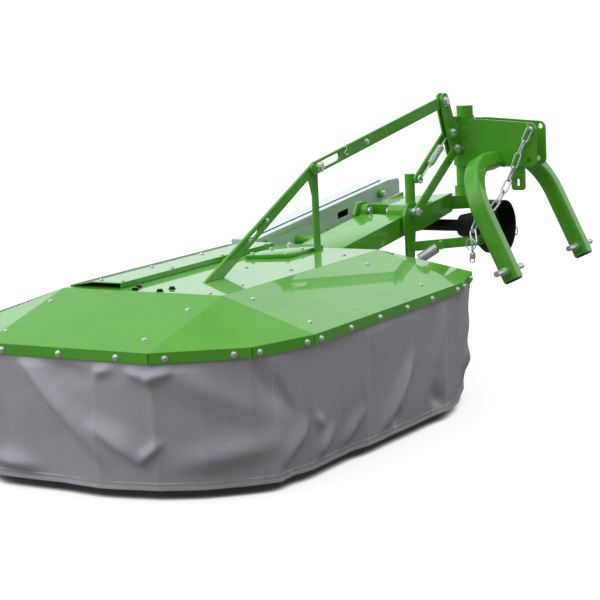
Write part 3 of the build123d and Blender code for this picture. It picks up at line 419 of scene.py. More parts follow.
def choose_faces(wanted):
    """Selects, in edit mode, the faces that the test accepts."""
    mesh = bmesh.from_edit_mesh(bpy.context.object.data)
    bpy.ops.mesh.select_all(action="DESELECT")
    bpy.ops.mesh.select_mode(type="FACE")
    for face in mesh.faces:
        face.select_set(bool(wanted(face)))
    bmesh.update_edit_mesh(bpy.context.object.data)


def steps_up(rises):
    """Extrudes the chosen top face upward in steps of height and scale."""
    for height, scale in rises:
        bpy.ops.mesh.extrude_region_move(TRANSFORM_OT_translate={"value": (0, 0, height)})
        bpy.ops.transform.resize(value=(scale, scale, 1))


def block(size, place, edge, segments, drawn_in=0.0):
    """Box with rounded edges. Its front corner at the +X end can be drawn in along X."""
    clean_start()
    bpy.ops.mesh.primitive_cube_add(size=1, location=place)
    box = bpy.context.object
    bpy.ops.object.mode_set(mode="EDIT")
    bpy.ops.transform.resize(value=size)
    if drawn_in:
        bpy.ops.mesh.select_mode(type="VERT")
        bpy.ops.mesh.select_all(action="DESELECT")
        for vertex in bmesh.from_edit_mesh(box.data).verts:
            vertex.select_set(vertex.co.x > 0 and vertex.co.y > 0)
        bpy.ops.transform.translate(value=(-drawn_in, 0, 0))
        bpy.ops.mesh.select_all(action="SELECT")
    bpy.ops.mesh.bevel(offset=edge, segments=segments)
    bpy.ops.object.mode_set(mode="OBJECT")
    return box


def dome_bolt():
    """Button-head bolt on a thin washer, standing on the origin."""
    clean_start()
    bpy.ops.mesh.primitive_cylinder_add(
        vertices=18, radius=0.0105, depth=0.0016, location=(0, 0, 0.0008),
    )
    bpy.ops.object.mode_set(mode="EDIT")
    choose_faces(lambda face: face.normal.z > 0.9)
    bpy.ops.mesh.inset(thickness=0.0022)
    steps_up([(0.0016, 1.0), (0.0018, 0.90), (0.0013, 0.80), (0.0006, 0.55)])
    bpy.ops.object.mode_set(mode="OBJECT")
    return bpy.context.object


def hex_bolt():
    """Hexagon head on a washer, standing on the origin."""
    clean_start()
    bpy.ops.mesh.primitive_cylinder_add(
        vertices=24, radius=0.0125, depth=0.0018, location=(0, 0, 0.0009),
    )
    washer = bpy.context.object
    bpy.ops.mesh.primitive_cylinder_add(
        vertices=6, radius=0.0098, depth=0.0055, location=(0, 0, 0.0045),
    )
    bpy.ops.object.mode_set(mode="EDIT")
    choose_faces(lambda face: face.normal.z > 0.9)
    steps_up([(0.0012, 0.86)])
    bpy.ops.mesh.inset(thickness=0.0012)
    bpy.ops.object.mode_set(mode="OBJECT")
    return join([bpy.context.object, washer])


def bent_wire(points, radius, closed=False):
    """Round wire bent along the points."""
    clean_start()
    bpy.ops.curve.primitive_nurbs_path_add()
    wire = bpy.context.object
    curve = wire.data
    curve.splines.clear()
    spline = curve.splines.new("NURBS")
    spline.points.add(len(points) - 1)
    for point, place in zip(spline.points, points):
        point.co = (*place, 1)
    spline.use_cyclic_u = closed
    spline.order_u = 3
    spline.use_endpoint_u = not closed
    spline.resolution_u = 4
    curve.dimensions = "3D"
    curve.bevel_depth = radius
    curve.bevel_resolution = 3
    curve.use_fill_caps = True
    wire.matrix_world = Matrix.Identity(4)
    bpy.ops.object.convert(target="MESH")
    return bpy.context.object


def wire_ring(centre, reach, radius, step=30):
    """Upright closed ring of wire about a centre, at its reach along X, Y and Z."""
    (x, y, z), (along, across, high) = centre, reach
    turns = [math.radians(a) for a in range(0, 360, step)]
    points = [
        (x + along * math.cos(a), y + across * math.cos(a), z + high * math.sin(a)) for a in turns
    ]
    return bent_wire(points, radius, closed=True)


# Curtain: lengths of coated cloth hung behind the lip

# How far inside the lip the cloth hangs, the height of its hem and its whole drop
INSET, HEM = 0.0061, 0.024
DROP = CLOTH_TOP - HEM_Z
QUARTER = [LONG, MID, SHORT]
LIP_CORNERS = (
    [(x, -y) for x, y in reversed(QUARTER)] + QUARTER
    + [(-x, y) for x, y in reversed(QUARTER)] + [(-x, -y) for x, y in QUARTER]
)
# One side of the cloth's line: its start, direction, outward normal and length
Side = namedtuple("Side", "start way out run")


def outward(way):
    """Square to a side's direction, away from the machine."""
    return Vector((way.y, -way.x))


def cloth_line():
    """The sides of the cloth's line, set in from the lip."""
    corners = [Vector(corner) for corner in LIP_CORNERS]
    ways = [(b - a).normalized() for a, b in zip(corners, corners[1:] + corners[:1])]
    starts = []
    for i, (corner, way) in enumerate(zip(corners, ways)):
        mitre = (outward(ways[i - 1]) + outward(way)).normalized()
        starts.append(corner - mitre * (INSET / mitre.dot(outward(way))))
    return [
        Side(start, way, outward(way), (end - start).length)
        for start, end, way in zip(starts, starts[1:] + starts[:1], ways)
    ]


SIDES = cloth_line()
ROUND = sum(side.run for side in SIDES)
# Distance from a corner over which the cloth turns
CORNER_EASE = 0.045


def line_at(distance):
    """Point on the cloth's line and the outward way there, turning gently at the corners."""
    distance %= ROUND
    passed = 0.0
    for i, side in enumerate(SIDES):
        if distance <= passed + side.run:
            near, far = distance - passed, passed + side.run - distance
            facing = side.out.copy()
            if near < CORNER_EASE:
                facing += SIDES[i - 1].out * (1 - near / CORNER_EASE)
            if far < CORNER_EASE:
                facing += SIDES[(i + 1) % len(SIDES)].out * (1 - far / CORNER_EASE)
            return side.start + side.way * near, facing.normalized()
        passed += side.run
    return SIDES[0].start, SIDES[0].out


def between(table, place):
    """Value at a place, straight from each row of the table to the next."""
    for (a, low), (b, high) in zip(table, table[1:]):
        if place <= b:
            return low + (high - low) * max(0.0, (place - a) / (b - a))
    return table[-1][1]


# Share of a fold's length that it runs on past each of its ends, and how sharply it fades there
FOLD_TAIL, FOLD_FADE = 0.25, 1.3


def fold(u, v, start, end, above, below, height):
    """A ridge in the cloth from one place to another, each side of it falling off over its own
    width."""
    du, dv = end[0] - start[0], end[1] - start[1]
    size = math.hypot(du, dv)
    t = ((u - start[0]) * du + (v - start[1]) * dv) / size ** 2
    if not -FOLD_TAIL < t < 1 + FOLD_TAIL:
        return 0.0
    off = ((u - start[0]) * dv - (v - start[1]) * du) / size
    if du < 0:
        off = -off
    fade = math.sin(math.pi * (t + FOLD_TAIL) / (1 + 2 * FOLD_TAIL)) ** FOLD_FADE
    return height * fade * math.exp(-((off / (above if off > 0 else below)) ** 2))


# Depth down to which the bolts hold the cloth, depth over which its folds then start, and the
# width of the stiffer cloth at its foot and at its ends
HELD, FOLDS_FROM, FOLDS_OVER, STIFF = 0.016, 0.018, 0.030, 0.05
# Share of its folds that the foot keeps, and how the cloth swings out on its way down
FOOT_FOLDS, HANG = 0.25, 0.85
# Heights of broad swells, about 0.4 m long, and of buckles, about 0.15 m
SWELL, BUCKLE = 0.007, 0.0035


def stands_out(u, v, hem, folds, seed):
    """How far the cloth stands out from its line, at a distance along it and a depth below its
    top edge."""
    free = min(1.0, max(0.0, (v - HELD) / (DROP - HELD)))
    tight = min(1.0, max(0.0, (v - FOLDS_FROM) / FOLDS_OVER))
    swell = noise.noise(Vector((u * 3.0 + seed, v * 2.2, seed))) * SWELL
    buckle = noise.noise(Vector((u * 8.0 - seed, v * 6.0 + u * 3.0, seed * 2))) * BUCKLE
    pulls = sum(fold(u, v, *row) for row in folds)
    foot = min(1.0, max(FOOT_FOLDS, (DROP - v) / STIFF))
    ends = min(1.0, u / STIFF, max(0.0, hem[-1][0] - u) / STIFF)
    waves = tight * max(0.0, ends) * (swell + buckle + pulls * foot)
    return between(hem, u) * free ** HANG + waves


# The map of seams reaches 50 mm to each side of a seam, at ten to the metre
SEAM_REACH, SEAM_SCALE = 0.05, 10


def lay(width, depth, columns, rows, place, seams):
    """A flat grid of cloth with its maps, each corner of it then moved to its place."""
    clean_start()
    bpy.ops.mesh.primitive_grid_add(x_subdivisions=columns, y_subdivisions=rows, size=1)
    piece = bpy.context.object
    maps = piece.data.uv_layers
    flat = maps.active or maps.new()
    flat.name = "cloth"
    maps.new(name="seams")
    low, high = depth
    for loop in piece.data.loops:
        co = piece.data.vertices[loop.vertex_index].co
        u, v = (co.x + 0.5) * width, low + (0.5 - co.y) * (high - low)
        maps["cloth"].data[loop.index].uv = (u, DROP - v)
        gap = min((u - seam for seam in seams), key=abs)
        beside = max(-SEAM_REACH, min(SEAM_REACH, gap))
        maps["seams"].data[loop.index].uv = (0.5 + SEAM_SCALE * beside, SEAM_SCALE * (DROP - v))
    for vertex in piece.data.vertices:
        vertex.co = place((vertex.co.x + 0.5) * width, low + (0.5 - vertex.co.y) * (high - low))
    piece.data.update()
    return piece


# How far the hem's folded band stands proud of the cloth, by height above the foot
HEM_SHAPE = [
    (0.000, 0.0022), (0.004, 0.0042), (0.008, 0.0030), (0.014, 0.0018), (0.020, 0.0022),
    (0.024, 0.0016),
]
# Width of the grid's squares, and its rows down the cloth and down the hem
GRID_STEP, CLOTH_ROWS, HEM_ROWS = 0.006, 66, 10


def hang_cloth(name, start, width, hem, folds, seed, seams, node):
    """One length of curtain with its folded hem."""

    def place(u, v, proud=0.0):
        point, out = line_at(start + u)
        depth = stands_out(u, v, hem, folds, seed) + proud
        return (CUT_X + point.x + out.x * depth, point.y + out.y * depth, CLOTH_TOP - v)

    def hem_place(u, v):
        return place(u, v, between(HEM_SHAPE, DROP - v))

    columns = int(width / GRID_STEP)
    piece = lay(width, (0.0, DROP), columns, CLOTH_ROWS, place, seams)
    done(piece, name, cloth, "mower_unit", smooth=80)
    band = lay(width, (DROP - HEM, DROP), columns, HEM_ROWS, hem_place, seams)
    thick = band.modifiers.new("folded", "SOLIDIFY")
    thick.thickness = 0.0012
    thick.offset = -1
    bpy.ops.object.modifier_apply(modifier="folded")
    done(band, name.replace("cloth", "hem"), cloth, "mower_unit", smooth=60)
    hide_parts(node)


# Lengths of cloth round an end, along a side, and in each rear flap beside their gap
END_RUN = sum(side.run for side in SIDES[:5])
LONG_RUN = SIDES[5].run
REAR_GAP = 0.018
FLAP = LONG_RUN / 2 - REAR_GAP / 2
# How far the hem stands outside the cloth's line, or inside it, by distance along each length
OUTER_HEM = [
    (0.0, -0.026), (0.099, -0.020), (0.158, 0.004), (0.238, -0.022), (0.386, -0.005),
    (0.536, -0.016), (0.653, -0.010), (0.791, -0.010), (0.931, 0.008), (1.039, -0.008),
    (1.128, -0.024), (1.276, -0.005), (1.426, -0.026), (1.508, 0.008), (1.583, -0.022),
    (1.664, -0.026),
]
FRONT_HEM = [
    (0.0, -0.026), (0.10, -0.030), (0.265, -0.027), (0.334, -0.012), (0.45, -0.016),
    (0.566, -0.014), (0.778, -0.011), (0.862, -0.001), (0.93, -0.014), (0.993, -0.026),
]
INNER_HEM = [
    (0.0, -0.026), (0.08, -0.030), (0.24, -0.040), (0.39, -0.026), (0.54, -0.030),
    (0.74, -0.006), (0.90, -0.016), (1.07, 0.004), (1.13, -0.020), (1.29, -0.006),
    (1.42, -0.026), (1.507, 0.002), (1.60, -0.020), (1.664, -0.026),
]
REAR_HEM = [(0.0, -0.026), (0.14, -0.016), (0.25, 0.002), (0.38, -0.014), (0.488, -0.026)]
# Folds: from, to, width above, width below, height
OUTER_FOLDS = [
    ((0.683, 0.045), (0.925, 0.285), 0.042, 0.027, 0.040),
    ((0.791, 0.020), (0.895, 0.085), 0.035, 0.030, -0.012),
    ((0.935, 0.058), (0.994, 0.034), 0.022, 0.018, 0.017),
    ((1.054, 0.042), (1.123, 0.070), 0.022, 0.016, 0.021),
    ((1.118, 0.070), (1.182, 0.042), 0.022, 0.016, 0.021),
    ((1.167, 0.040), (1.425, 0.180), 0.042, 0.050, 0.018),
    ((0.935, 0.222), (1.079, 0.316), 0.040, 0.022, 0.026),
    ((1.076, 0.316), (1.143, 0.262), 0.022, 0.011, 0.016),
    ((1.217, 0.318), (1.484, 0.286), 0.045, 0.036, 0.024),
    ((0.534, 0.350), (0.693, 0.372), 0.036, 0.022, 0.023),
    ((1.439, 0.030), (1.504, 0.160), 0.030, 0.030, -0.012),
    ((1.514, 0.095), (1.578, 0.200), 0.014, 0.040, -0.013),
    ((1.657, 0.240), (1.543, 0.345), 0.034, 0.020, 0.023),
    ((0.297, 0.060), (0.475, 0.260), 0.055, 0.026, 0.026),
    ((0.049, 0.120), (0.188, 0.300), 0.050, 0.028, 0.022),
    ((0.416, 0.330), (0.247, 0.270), 0.045, 0.025, 0.017),
]
FRONT_FOLDS = [
    ((0.000, 0.238), (0.070, 0.276), 0.022, 0.018, 0.012),
    ((0.130, 0.310), (0.040, 0.370), 0.030, 0.018, 0.014),
    ((0.609, 0.200), (0.440, 0.362), 0.030, 0.022, 0.023),
    ((0.540, 0.330), (0.500, 0.388), 0.020, 0.018, -0.011),
    ((0.765, 0.310), (0.850, 0.390), 0.030, 0.030, -0.014),
    ((0.870, 0.060), (0.770, 0.280), 0.040, 0.030, 0.011),
    ((0.300, 0.290), (0.190, 0.372), 0.030, 0.022, 0.014),
]
# The inner end has the outer end's folds seen from the other end, without those at its front corner
INNER_FOLDS = [
    ((END_RUN - a, b), (END_RUN - c, d), above, below, height)
    for (a, b), (c, d), above, below, height in OUTER_FOLDS[:10] + OUTER_FOLDS[13:]
]
hang_cloth(
    "outer_cloth", start=0.0, width=END_RUN, hem=OUTER_HEM, folds=OUTER_FOLDS, seed=3.1,
    seams=(0.157, 0.595, 0.931, 1.507), node="outer_curtain",
)
hang_cloth(
    "front_cloth", start=END_RUN, width=LONG_RUN, hem=FRONT_HEM, folds=FRONT_FOLDS, seed=5.3,
    seams=(0.334, 0.862), node="front_curtain",
)
hang_cloth(
    "inner_cloth", start=END_RUN + LONG_RUN, width=END_RUN, hem=INNER_HEM, folds=INNER_FOLDS,
    seed=8.7, seams=(0.157, 0.733, 1.069, 1.507), node="inner_curtain",
)
hang_cloth(
    "rear_cloth_inner", start=2 * END_RUN + LONG_RUN, width=FLAP, hem=REAR_HEM,
    folds=FRONT_FOLDS[:2], seed=11.9, seams=(0.25,), node="rear_curtain",
)
hang_cloth(
    "rear_cloth_outer", start=ROUND - FLAP, width=FLAP, hem=REAR_HEM,
    folds=FRONT_FOLDS[6:], seed=14.2, seams=(0.24,), node="rear_curtain",
)


# Bolts on the cover

# Distances of the button heads along each side of the lip, from the corner where the outer end
# starts round by the front
OUTER_CORNER = 2
LONG_SIDE_BOLTS = (0.038, 0.221, 0.407, 0.590, 0.767, 0.955)
LIP_BOLTS = [
    (0.062, 0.274, 0.483), (0.048, 0.248), (0.028, 0.211),
    LONG_SIDE_BOLTS, (0.032, 0.208), (0.048, 0.248),
    (0.062, 0.299, 0.536), (0.048, 0.248), (0.028, 0.211),
    LONG_SIDE_BOLTS, (0.032, 0.208), (0.048, 0.248),
]


def lip_bolts():
    """Places of the button heads round the lip, from each side's distances along it."""
    corners = [Vector(corner) for corner in LIP_CORNERS]
    places = []
    for i, distances in enumerate(LIP_BOLTS, OUTER_CORNER):
        start, end = corners[i % len(corners)], corners[(i + 1) % len(corners)]
        way = (end - start).normalized()
        for distance in distances:
            p = start + way * distance
            places.append(((CUT_X + p.x, p.y, LIP_BOLT_Z), (*outward(way), 0)))
    return places


# Fall of the sloping panels, how far out they run, and the top plate's edges that they start from
SLOPE, FRONT_RUN, OUTER_RUN = 0.103, 0.318, 0.403
TOP_END, TOP_FRONT = 0.497, 0.302
FRONT_TILT = Vector((0, SLOPE, FRONT_RUN)).normalized()
OUTER_TILT = Vector((SLOPE, 0, OUTER_RUN)).normalized()
FRONT_BOLTS = [(0.422, 0.363), (0.415, 0.558), (-0.303, 0.363), (-0.308, 0.560)]
OUTER_BOLTS = [(0.598, -0.278), (0.818, -0.284), (0.818, 0.232), (0.606, 0.246)]
INNER_BOLTS = [(0.598, 0.278), (0.818, 0.284), (0.818, -0.268)]
TOP_BOLTS = [
    (0.470, 0.239), (0.302, 0.248), (0.129, 0.060), (-0.023, 0.060), (-0.010, 0.241),
    (-0.353, 0.246),
]
TOP_HEX = [(0.472, -0.040), (0.426, -0.060), (0.478, 0.058), (0.427, 0.069)]
HATCH_BOLTS = [(x, y) for x in (-0.43, -0.15, 0.15, 0.43) for y in (-0.118, -0.200)]


def slope_bolts():
    """Places of the button heads on the sloping panels: front with the same at the back, outer and
    inner."""
    places = []
    for x, y in FRONT_BOLTS:
        z = TOP_Z - SLOPE * (y - TOP_FRONT) / FRONT_RUN
        places.append(((CUT_X + x, y, z), FRONT_TILT))
        places.append(((CUT_X - x, -y, z), (0, -FRONT_TILT.y, FRONT_TILT.z)))
    for bolts, side in ((OUTER_BOLTS, 1), (INNER_BOLTS, -1)):
        for x, y in bolts:
            z = TOP_Z - SLOPE * (x - TOP_END) / OUTER_RUN
            places.append(((CUT_X + side * x, y, z), (side * OUTER_TILT.x, 0, OUTER_TILT.z)))
    return places


def level_bolts(bolts, z):
    """Places of bolts that stand upright on a flat sheet of the cover."""
    return [((CUT_X + x, y, z), UP) for x, y in bolts]


button = dome_bolt()
heads = stand(button, lip_bolts())
done(heads, "lip_bolts", zinc, "mower_unit", BOLT_SMOOTH)
places = slope_bolts() + level_bolts(TOP_BOLTS, TOP_Z) + level_bolts(HATCH_BOLTS, HATCH_Z)
heads = stand(button, places, size=0.8)
done(heads, "cover_bolts", zinc, "mower_unit", BOLT_SMOOTH)
hexagon = hex_bolt()
heads = stand(hexagon, level_bolts(TOP_HEX, TOP_Z))
done(heads, "housing_bolts", black_enamel, "mower_unit", BOLT_SMOOTH)


# Nuts, split pins and clips

SPLIT_PIN = [
    (-0.016, 0.004, 0.0125), (-0.023, 0.005, 0.0125), (-0.028, 0, 0.0125),
    (-0.023, -0.005, 0.0125), (-0.016, -0.003, 0.0125), (0.010, -0.002, 0.0125),
    (0.018, -0.002, 0.0125), (0.022, -0.008, 0.009), (0.022, -0.013, 0.005),
]
MAST_NUTS = [
    ((PIVOT_X + 0.150, 0.1275, 0.992), TO_FRONT), ((PIVOT_X + 0.096, 0.1275, 0.866), TO_FRONT),
]
BRACE_NUT = [((PIVOT_X + 0.080, 0.1358, 0.803), TO_FRONT)]
HINGE_NUT = [((PIVOT_X + 0.430, 0.1305, 0.599), TO_FRONT)]
nuts = stand(hexagon, MAST_NUTS + BRACE_NUT, size=1.55)
done(nuts, "mast_nuts", zinc, "swing_arm", BOLT_SMOOTH)
nuts = stand(hexagon, HINGE_NUT, size=1.75)
done(nuts, "hinge_nut", zinc, "swing_arm", BOLT_SMOOTH)
# An eye on one side of a pin that stands along Z, one leg bent on the other
pattern = bent_wire(SPLIT_PIN, radius=0.0019)
done(stand(pattern, BRACE_NUT + HINGE_NUT), "split_pins", zinc, "swing_arm")
drop(pattern)

LINK_FRONT = 0.119
LINK_CLIP = [
    (0.600, 0.892), (0.612, 0.897), (0.624, 0.891), (0.614, 0.880), (0.604, 0.870),
    (0.618, 0.862), (0.630, 0.868),
]
link_bolt = stand(hexagon, [((CUT_X - 0.773, LINK_FRONT, 0.897), TO_FRONT)], size=0.95)
clip = bent_wire([(CUT_X - x, LINK_FRONT + 0.003, z) for x, z in LINK_CLIP], radius=0.0024)
done(join([link_bolt, clip]), "link_clip", zinc, "limiter_link")
ring = wire_ring((CUT_X - 0.420, 0.1335, 0.843), (0.017, 0, 0.017), radius=0.0024)
done(ring, "lift_pin_ring", zinc, "mower_unit")
strut_bolt = stand(button, [((CUT_X - 0.091, 0.108, 0.700), TO_FRONT)], size=0.8)
boss_bolt = stand(hexagon, [((PIVOT_X + 0.111, -0.182, 0.628), TO_FRONT)], size=1.1)
bolts = join([strut_bolt, boss_bolt])
done(bolts, "frame_bolts", zinc, "mower_unit", BOLT_SMOOTH)


# Bolted lid on the top plate, over the gear housing

LID_X, LID_Y, LID_Z = (-0.480, -0.190), (-0.050, 0.092), (TOP_Z, 0.563)
LID_BOLTS = [
    (-0.211, -0.033), (-0.335, -0.033), (-0.460, -0.033), (-0.262, 0.075), (-0.360, 0.075),
    (-0.460, 0.075),
]
lid = block(
    [high - low for low, high in (LID_X, LID_Y, LID_Z)],
    (CUT_X + sum(LID_X) / 2, sum(LID_Y) / 2, sum(LID_Z) / 2),
    edge=0.002, segments=2, drawn_in=0.058,
)
done(lid, "gearbox_lid", green, "mower_unit", BOLT_SMOOTH)
heads = stand(hexagon, level_bolts(LID_BOLTS, LID_Z[1]), size=0.8)
done(heads, "lid_bolts", zinc, "mower_unit", BOLT_SMOOTH)
drop(hexagon)
drop(button)


# Springs

def coil(radius, wire, length, turns):
    """Round wire wound into a spring along Z from the origin, with closed ends."""
    clean_start()
    bpy.ops.mesh.primitive_circle_add(
        vertices=8, radius=wire, location=(radius, 0, 0), rotation=(math.pi / 2, 0, 0),
    )
    spring = bpy.context.object
    bpy.ops.object.transform_apply(location=True, rotation=True, scale=True)
    wound = spring.modifiers.new("wound", "SCREW")
    wound.screw_offset = length / turns
    wound.iterations = turns
    wound.steps = 20
    wound.render_steps = 20
    bpy.ops.object.modifier_apply(modifier="wound")
    bpy.ops.object.mode_set(mode="EDIT")
    bpy.ops.mesh.select_all(action="SELECT")
    bpy.ops.mesh.fill_holes(sides=0)
    bpy.ops.mesh.select_all(action="SELECT")
    bpy.ops.mesh.normals_make_consistent(inside=False)
    bpy.ops.object.mode_set(mode="OBJECT")
    return spring


def spring_end():
    """Plug screwed into a spring's end, its rim rounded, standing on the origin."""
    clean_start()
    bpy.ops.mesh.primitive_cylinder_add(
        vertices=20, radius=0.0100, depth=0.010, location=(0, 0, 0.005),
    )
    bpy.ops.object.mode_set(mode="EDIT")
    choose_faces(lambda face: abs(face.normal.z) > 0.9)
    bpy.ops.mesh.bevel(offset=0.0025, segments=2)
    bpy.ops.object.mode_set(mode="OBJECT")
    return bpy.context.object


# Radius of a spring's eye, where its neck starts, and its wire's radius
EYE_RADIUS, EYE_NECK, EYE_WIRE = 0.0145, 0.030, 0.0036


def wire_eye(centre, toward):
    """Wire eye round a pin along Y, with a straight shank towards a point."""
    shank = (toward - centre).normalized()
    side = Vector((-shank.z, 0, shank.x))
    turn = [math.radians(a) for a in range(30, 361, 30)]
    loop = [centre + (shank * math.cos(a) + side * math.sin(a)) * EYE_RADIUS for a in turn]
    return bent_wire([tuple(p) for p in loop + [centre + shank * EYE_NECK, toward]], EYE_WIRE)


# Relief spring from the mast's pin to the spring post's, and where its coil starts and ends
RELIEF = (Vector((PIVOT_X + 0.096, 0.114, 0.866)), Vector((PIVOT_X + 0.353, 0.114, 0.715)))
RELIEF_FROM, RELIEF_TO = 0.094, 0.204
along = (RELIEF[1] - RELIEF[0]).normalized()
near, far = RELIEF[0] + along * RELIEF_FROM, RELIEF[0] + along * RELIEF_TO
pattern = coil(radius=0.0120, wire=0.0030, length=RELIEF_TO - RELIEF_FROM, turns=10)
turns = stand(pattern, [(near, along)])
drop(pattern)
pattern = spring_end()
plugs = stand(pattern, [(near, along), (far, -along)])
drop(pattern)
relief = join([turns, plugs, wire_eye(RELIEF[0], near), wire_eye(RELIEF[1], far)])
done(relief, "relief_coil", zinc, "swing_arm")
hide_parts("relief_spring")

# Latch spring down the breakaway strut, and where its coil starts
LATCH = (Vector((PIVOT_X + 0.4229, 0.2262, 0.4767)), Vector((PIVOT_X + 0.462, 0.1133, 0.400)))
LATCH_FROM = 0.019
along = (LATCH[1] - LATCH[0]).normalized()
pattern = coil(radius=0.0168, wire=0.0030, length=0.078, turns=12)
turns = stand(pattern, [(LATCH[0] + along * LATCH_FROM, along)])
done(turns, "latch_coil", zinc, "swing_arm")
drop(pattern)


# Small fittings on the headstock, the drive's bell and the guard

def dark_leg_cap():
    """Cap over the open end of a leg's tube, standing on the origin; its black stands for the shade
    inside that open end.
    """
    clean_start()
    bpy.ops.mesh.primitive_cube_add(size=1, location=(0, 0, 0.003))
    bpy.ops.object.mode_set(mode="EDIT")
    bpy.ops.transform.resize(value=(0.056, 0.056, 0.006))
    mesh = bmesh.from_edit_mesh(bpy.context.object.data)
    bpy.ops.mesh.select_all(action="DESELECT")
    bpy.ops.mesh.select_mode(type="EDGE")
    for edge in mesh.edges:
        edge.select_set(abs(edge.verts[0].co.z - edge.verts[1].co.z) > 0.001)
    bpy.ops.mesh.bevel(offset=0.012, segments=4)
    choose_faces(lambda face: face.normal.z > 0.9)
    bpy.ops.mesh.inset(thickness=0.007)
    steps_up([(-0.003, 0.96)])
    bpy.ops.object.mode_set(mode="OBJECT")
    return bpy.context.object


# A leg's last straight run, where it starts, how far it goes on past its pin, and X of both legs
LEG_RUN = Vector((0, 0.182, -0.380))
LEG_BEND = Vector((0, 0.280, 0.757))
PAST_PIN = 0.040
LEG_SIDES = (0.335, -0.335)
foot_way = LEG_RUN.normalized()
foot = LEG_BEND + foot_way * (LEG_RUN.length + PAST_PIN)
# Black caps at the legs' feet: dark pieces that stand for the shade inside the tubes' open ends
pattern = dark_leg_cap()
plugs = stand(pattern, [((PIVOT_X + side, foot.y, foot.z), foot_way) for side in LEG_SIDES])
done(plugs, "dark_leg_caps", rubber, "headstock")
drop(pattern)

# Lynch pin through the latch pin's end: head, shank, hoop round that end, and a small ring below
LYNCH = Vector((PIVOT_X + 0.394, 0.342, 0.485))
head = block((0.020, 0.018, 0.024), (LYNCH.x, LYNCH.y, LYNCH.z - 0.050), edge=0.004, segments=3)
bpy.ops.object.transform_apply(location=True, rotation=True, scale=True)
shank = bent_wire(
    [tuple(LYNCH + Vector((0, 0, z))) for z in (0.018, 0.0, -0.020, -0.042)], radius=0.0045,
)
hoop = wire_ring((LYNCH.x + 0.011, LYNCH.y, LYNCH.z - 0.006), (0, 0.021, 0.021), radius=0.0022)
tail = wire_ring(
    (LYNCH.x + 0.004, LYNCH.y, LYNCH.z - 0.066), (0, 0.010, 0.010), radius=0.0022, step=45,
)
done(join([head, shank, hoop, tail]), "lynch_pin", zinc, "headstock")

# Ring on the drive's bell
loop = wire_ring((PIVOT_X - 0.0177, 0.332, 0.4726), (0.013, 0, 0.016), radius=0.0018)
done(loop, "bell_ring", black_enamel, "mower_unit")

# Dark strip along the guard's top, from the cover to the guard's high end
SEAL = (Vector((CUT_X - 0.512, -0.232, 0.5709)), Vector((CUT_X - 1.505, -0.232, 0.6712)))
along = SEAL[1] - SEAL[0]
pattern = block((0.0030, 0.0045, along.length), (0, 0, 0), edge=0.0010, segments=2)
strip = stand(pattern, [((SEAL[0] + SEAL[1]) / 2, along)])
drop(pattern)
done(strip, "guard_seal", rubber, "mower_unit")


# Stage, light and camera

def studio_floor():
    """Pale studio floor: to the eye it glows white, with a painted shadow that darkens it under the
    machine up to the curtain's foot; mid grey as a light."""
    mat = bpy.data.materials.new("pale_studio_floor")
    mat.use_nodes = True
    tree = mat.node_tree
    tree.nodes.clear()
    seen = add(tree, "ShaderNodeLightPath")
    open_sky = add(tree, "ShaderNodeAmbientOcclusion", Distance=2.0, samples=16)
    # Painted shadow: the floor's glow goes dark where ambient occlusion finds the machine close
    # above
    shade = add(
        tree, "ShaderNodeValToRGB", [(open_sky.outputs["AO"], "Fac")],
        [(0.12, grey(0.02)), (0.42, grey(1.0))],
    )
    glow_with_painted_shadow = add(tree, "ShaderNodeEmission", [(shade.outputs["Color"], "Color")], Strength=0.80)
    pale = add(tree, "ShaderNodeBsdfDiffuse", Color=grey(0.25))
    to_eye = add(tree, "ShaderNodeAddShader", [(glow_with_painted_shadow.outputs[0], 0), (pale.outputs[0], 1)])
    mirrored = add(
        tree, "ShaderNodeMath",
        [(seen.outputs["Is Glossy Ray"], 0), (seen.outputs["Is Transmission Ray"], 1)],
        operation="MAXIMUM",
    )
    dim = add(tree, "ShaderNodeBsdfDiffuse", Color=linear("#867F78"))
    mid = add(tree, "ShaderNodeBsdfDiffuse", Color=grey(0.15))
    bounced = add(
        tree, "ShaderNodeMixShader",
        [(mirrored.outputs[0], 0), (dim.outputs[0], 1), (mid.outputs[0], 2)],
    )
    mixed = add(
        tree, "ShaderNodeMixShader",
        [(seen.outputs["Is Camera Ray"], 0), (bounced.outputs[0], 1), (to_eye.outputs[0], 2)],
    )
    add(tree, "ShaderNodeOutputMaterial", [(mixed.outputs[0], "Surface")])
    return mat


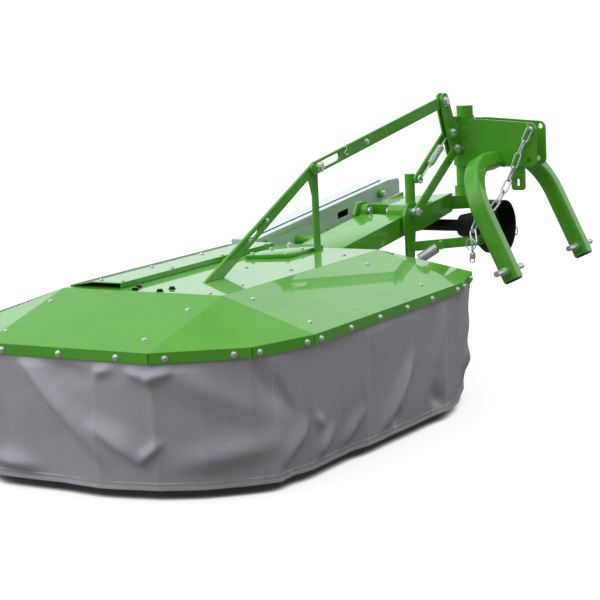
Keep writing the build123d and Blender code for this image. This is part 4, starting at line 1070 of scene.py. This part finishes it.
def overcast_sky(far_way):
    """Bright overcast sky above and behind the machine, dim towards the camera's side. In gloss, a
    white band over the far horizon that is dimmer higher up."""
    world = bpy.data.worlds.new("overcast_sky")
    world.use_nodes = True
    tree = world.node_tree
    tree.nodes.clear()
    way = add(tree, "ShaderNodeTexCoord").outputs["Generated"]
    behind = add(tree, "ShaderNodeVectorMath", [(way, 0)], operation="DOT_PRODUCT")
    behind.inputs[1].default_value = (-0.18, -0.62, 1.15)
    level = add(
        tree, "ShaderNodeMapRange", [(behind.outputs["Value"], "Value")],
        **{"From Min": -0.6, "From Max": 1.2},
    )
    cloud = add(
        tree, "ShaderNodeValToRGB", [(level.outputs["Result"], "Fac")],
        [(0.0, cool(0.04)), (0.45, cool(0.17)), (0.72, cool(0.85)), (1.0, cool(1.0))],
    )
    height = add(tree, "ShaderNodeSeparateXYZ", [(way, "Vector")])
    band = add(
        tree, "ShaderNodeValToRGB", [(height.outputs["Z"], "Fac")],
        [(0.0, cool(1.0)), (0.40, cool(0.96)), (0.53, cool(0.37)), (0.72, cool(0.35))],
    )
    across = add(tree, "ShaderNodeVectorMath", [(way, 0)], operation="DOT_PRODUCT")
    across.inputs[1].default_value = far_way
    far_side = add(
        tree, "ShaderNodeMapRange", [(across.outputs["Value"], "Value")],
        **{"From Min": -0.1, "From Max": 0.35},
    )
    seen = add(tree, "ShaderNodeLightPath")
    mirrored = add(
        tree, "ShaderNodeMath",
        [(seen.outputs["Is Glossy Ray"], 0), (far_side.outputs["Result"], 1)],
        operation="MULTIPLY",
    )
    direct = add(
        tree, "ShaderNodeMath",
        [(seen.outputs["Is Camera Ray"], 0), (seen.outputs["Is Transmission Ray"], 1)],
        operation="MAXIMUM",
    )
    soft = add(tree, "ShaderNodeBackground", [(cloud.outputs["Color"], "Color")], Strength=1.74)
    horizon = add(tree, "ShaderNodeBackground", [(band.outputs["Color"], "Color")], Strength=1.0)
    white = add(tree, "ShaderNodeBackground", Color=grey(1.0), Strength=1.0)
    lit = add(
        tree, "ShaderNodeMixShader",
        [(mirrored.outputs[0], 0), (soft.outputs[0], 1), (horizon.outputs[0], 2)],
    )
    mixed = add(
        tree, "ShaderNodeMixShader",
        [(direct.outputs[0], 0), (lit.outputs[0], 1), (white.outputs[0], 2)],
    )
    add(tree, "ShaderNodeOutputWorld", [(mixed.outputs[0], "Surface")])
    return world


clean_start()
bpy.ops.mesh.primitive_plane_add(size=60, location=(0, 0, -0.0005))
floor = bpy.context.object
floor.name = "floor"
floor.data.materials.append(studio_floor())

# The photograph's camera, from the fit to the cover's corners and the lower link pins
AZIMUTH, ELEVATION, ROLL = (math.radians(a) for a in (121.1, 9.2, -2.69))
CAMERA_AT = (6.05625, 3.60, 1.506)
back = Vector((
    math.sin(AZIMUTH) * math.cos(ELEVATION), -math.cos(AZIMUTH) * math.cos(ELEVATION),
    math.sin(ELEVATION),
))
right = Vector(UP).cross(back).normalized()
up = back.cross(right)
turned_right = right * math.cos(ROLL) + up * math.sin(ROLL)
turned_up = up * math.cos(ROLL) - right * math.sin(ROLL)
bpy.context.scene.world = overcast_sky((-back.x, -back.y, 0))
bpy.ops.object.camera_add()
camera = bpy.context.object
camera.data.sensor_width = 36
camera.data.lens = 120
camera.data.shift_y = -0.005
camera.data.clip_end = 100
axes = zip(turned_right, turned_up, back, CAMERA_AT)
camera.matrix_world = Matrix((*axes, (0, 0, 0, 1)))
bpy.context.scene.camera = camera
bpy.context.scene.view_settings.view_transform = "Standard"
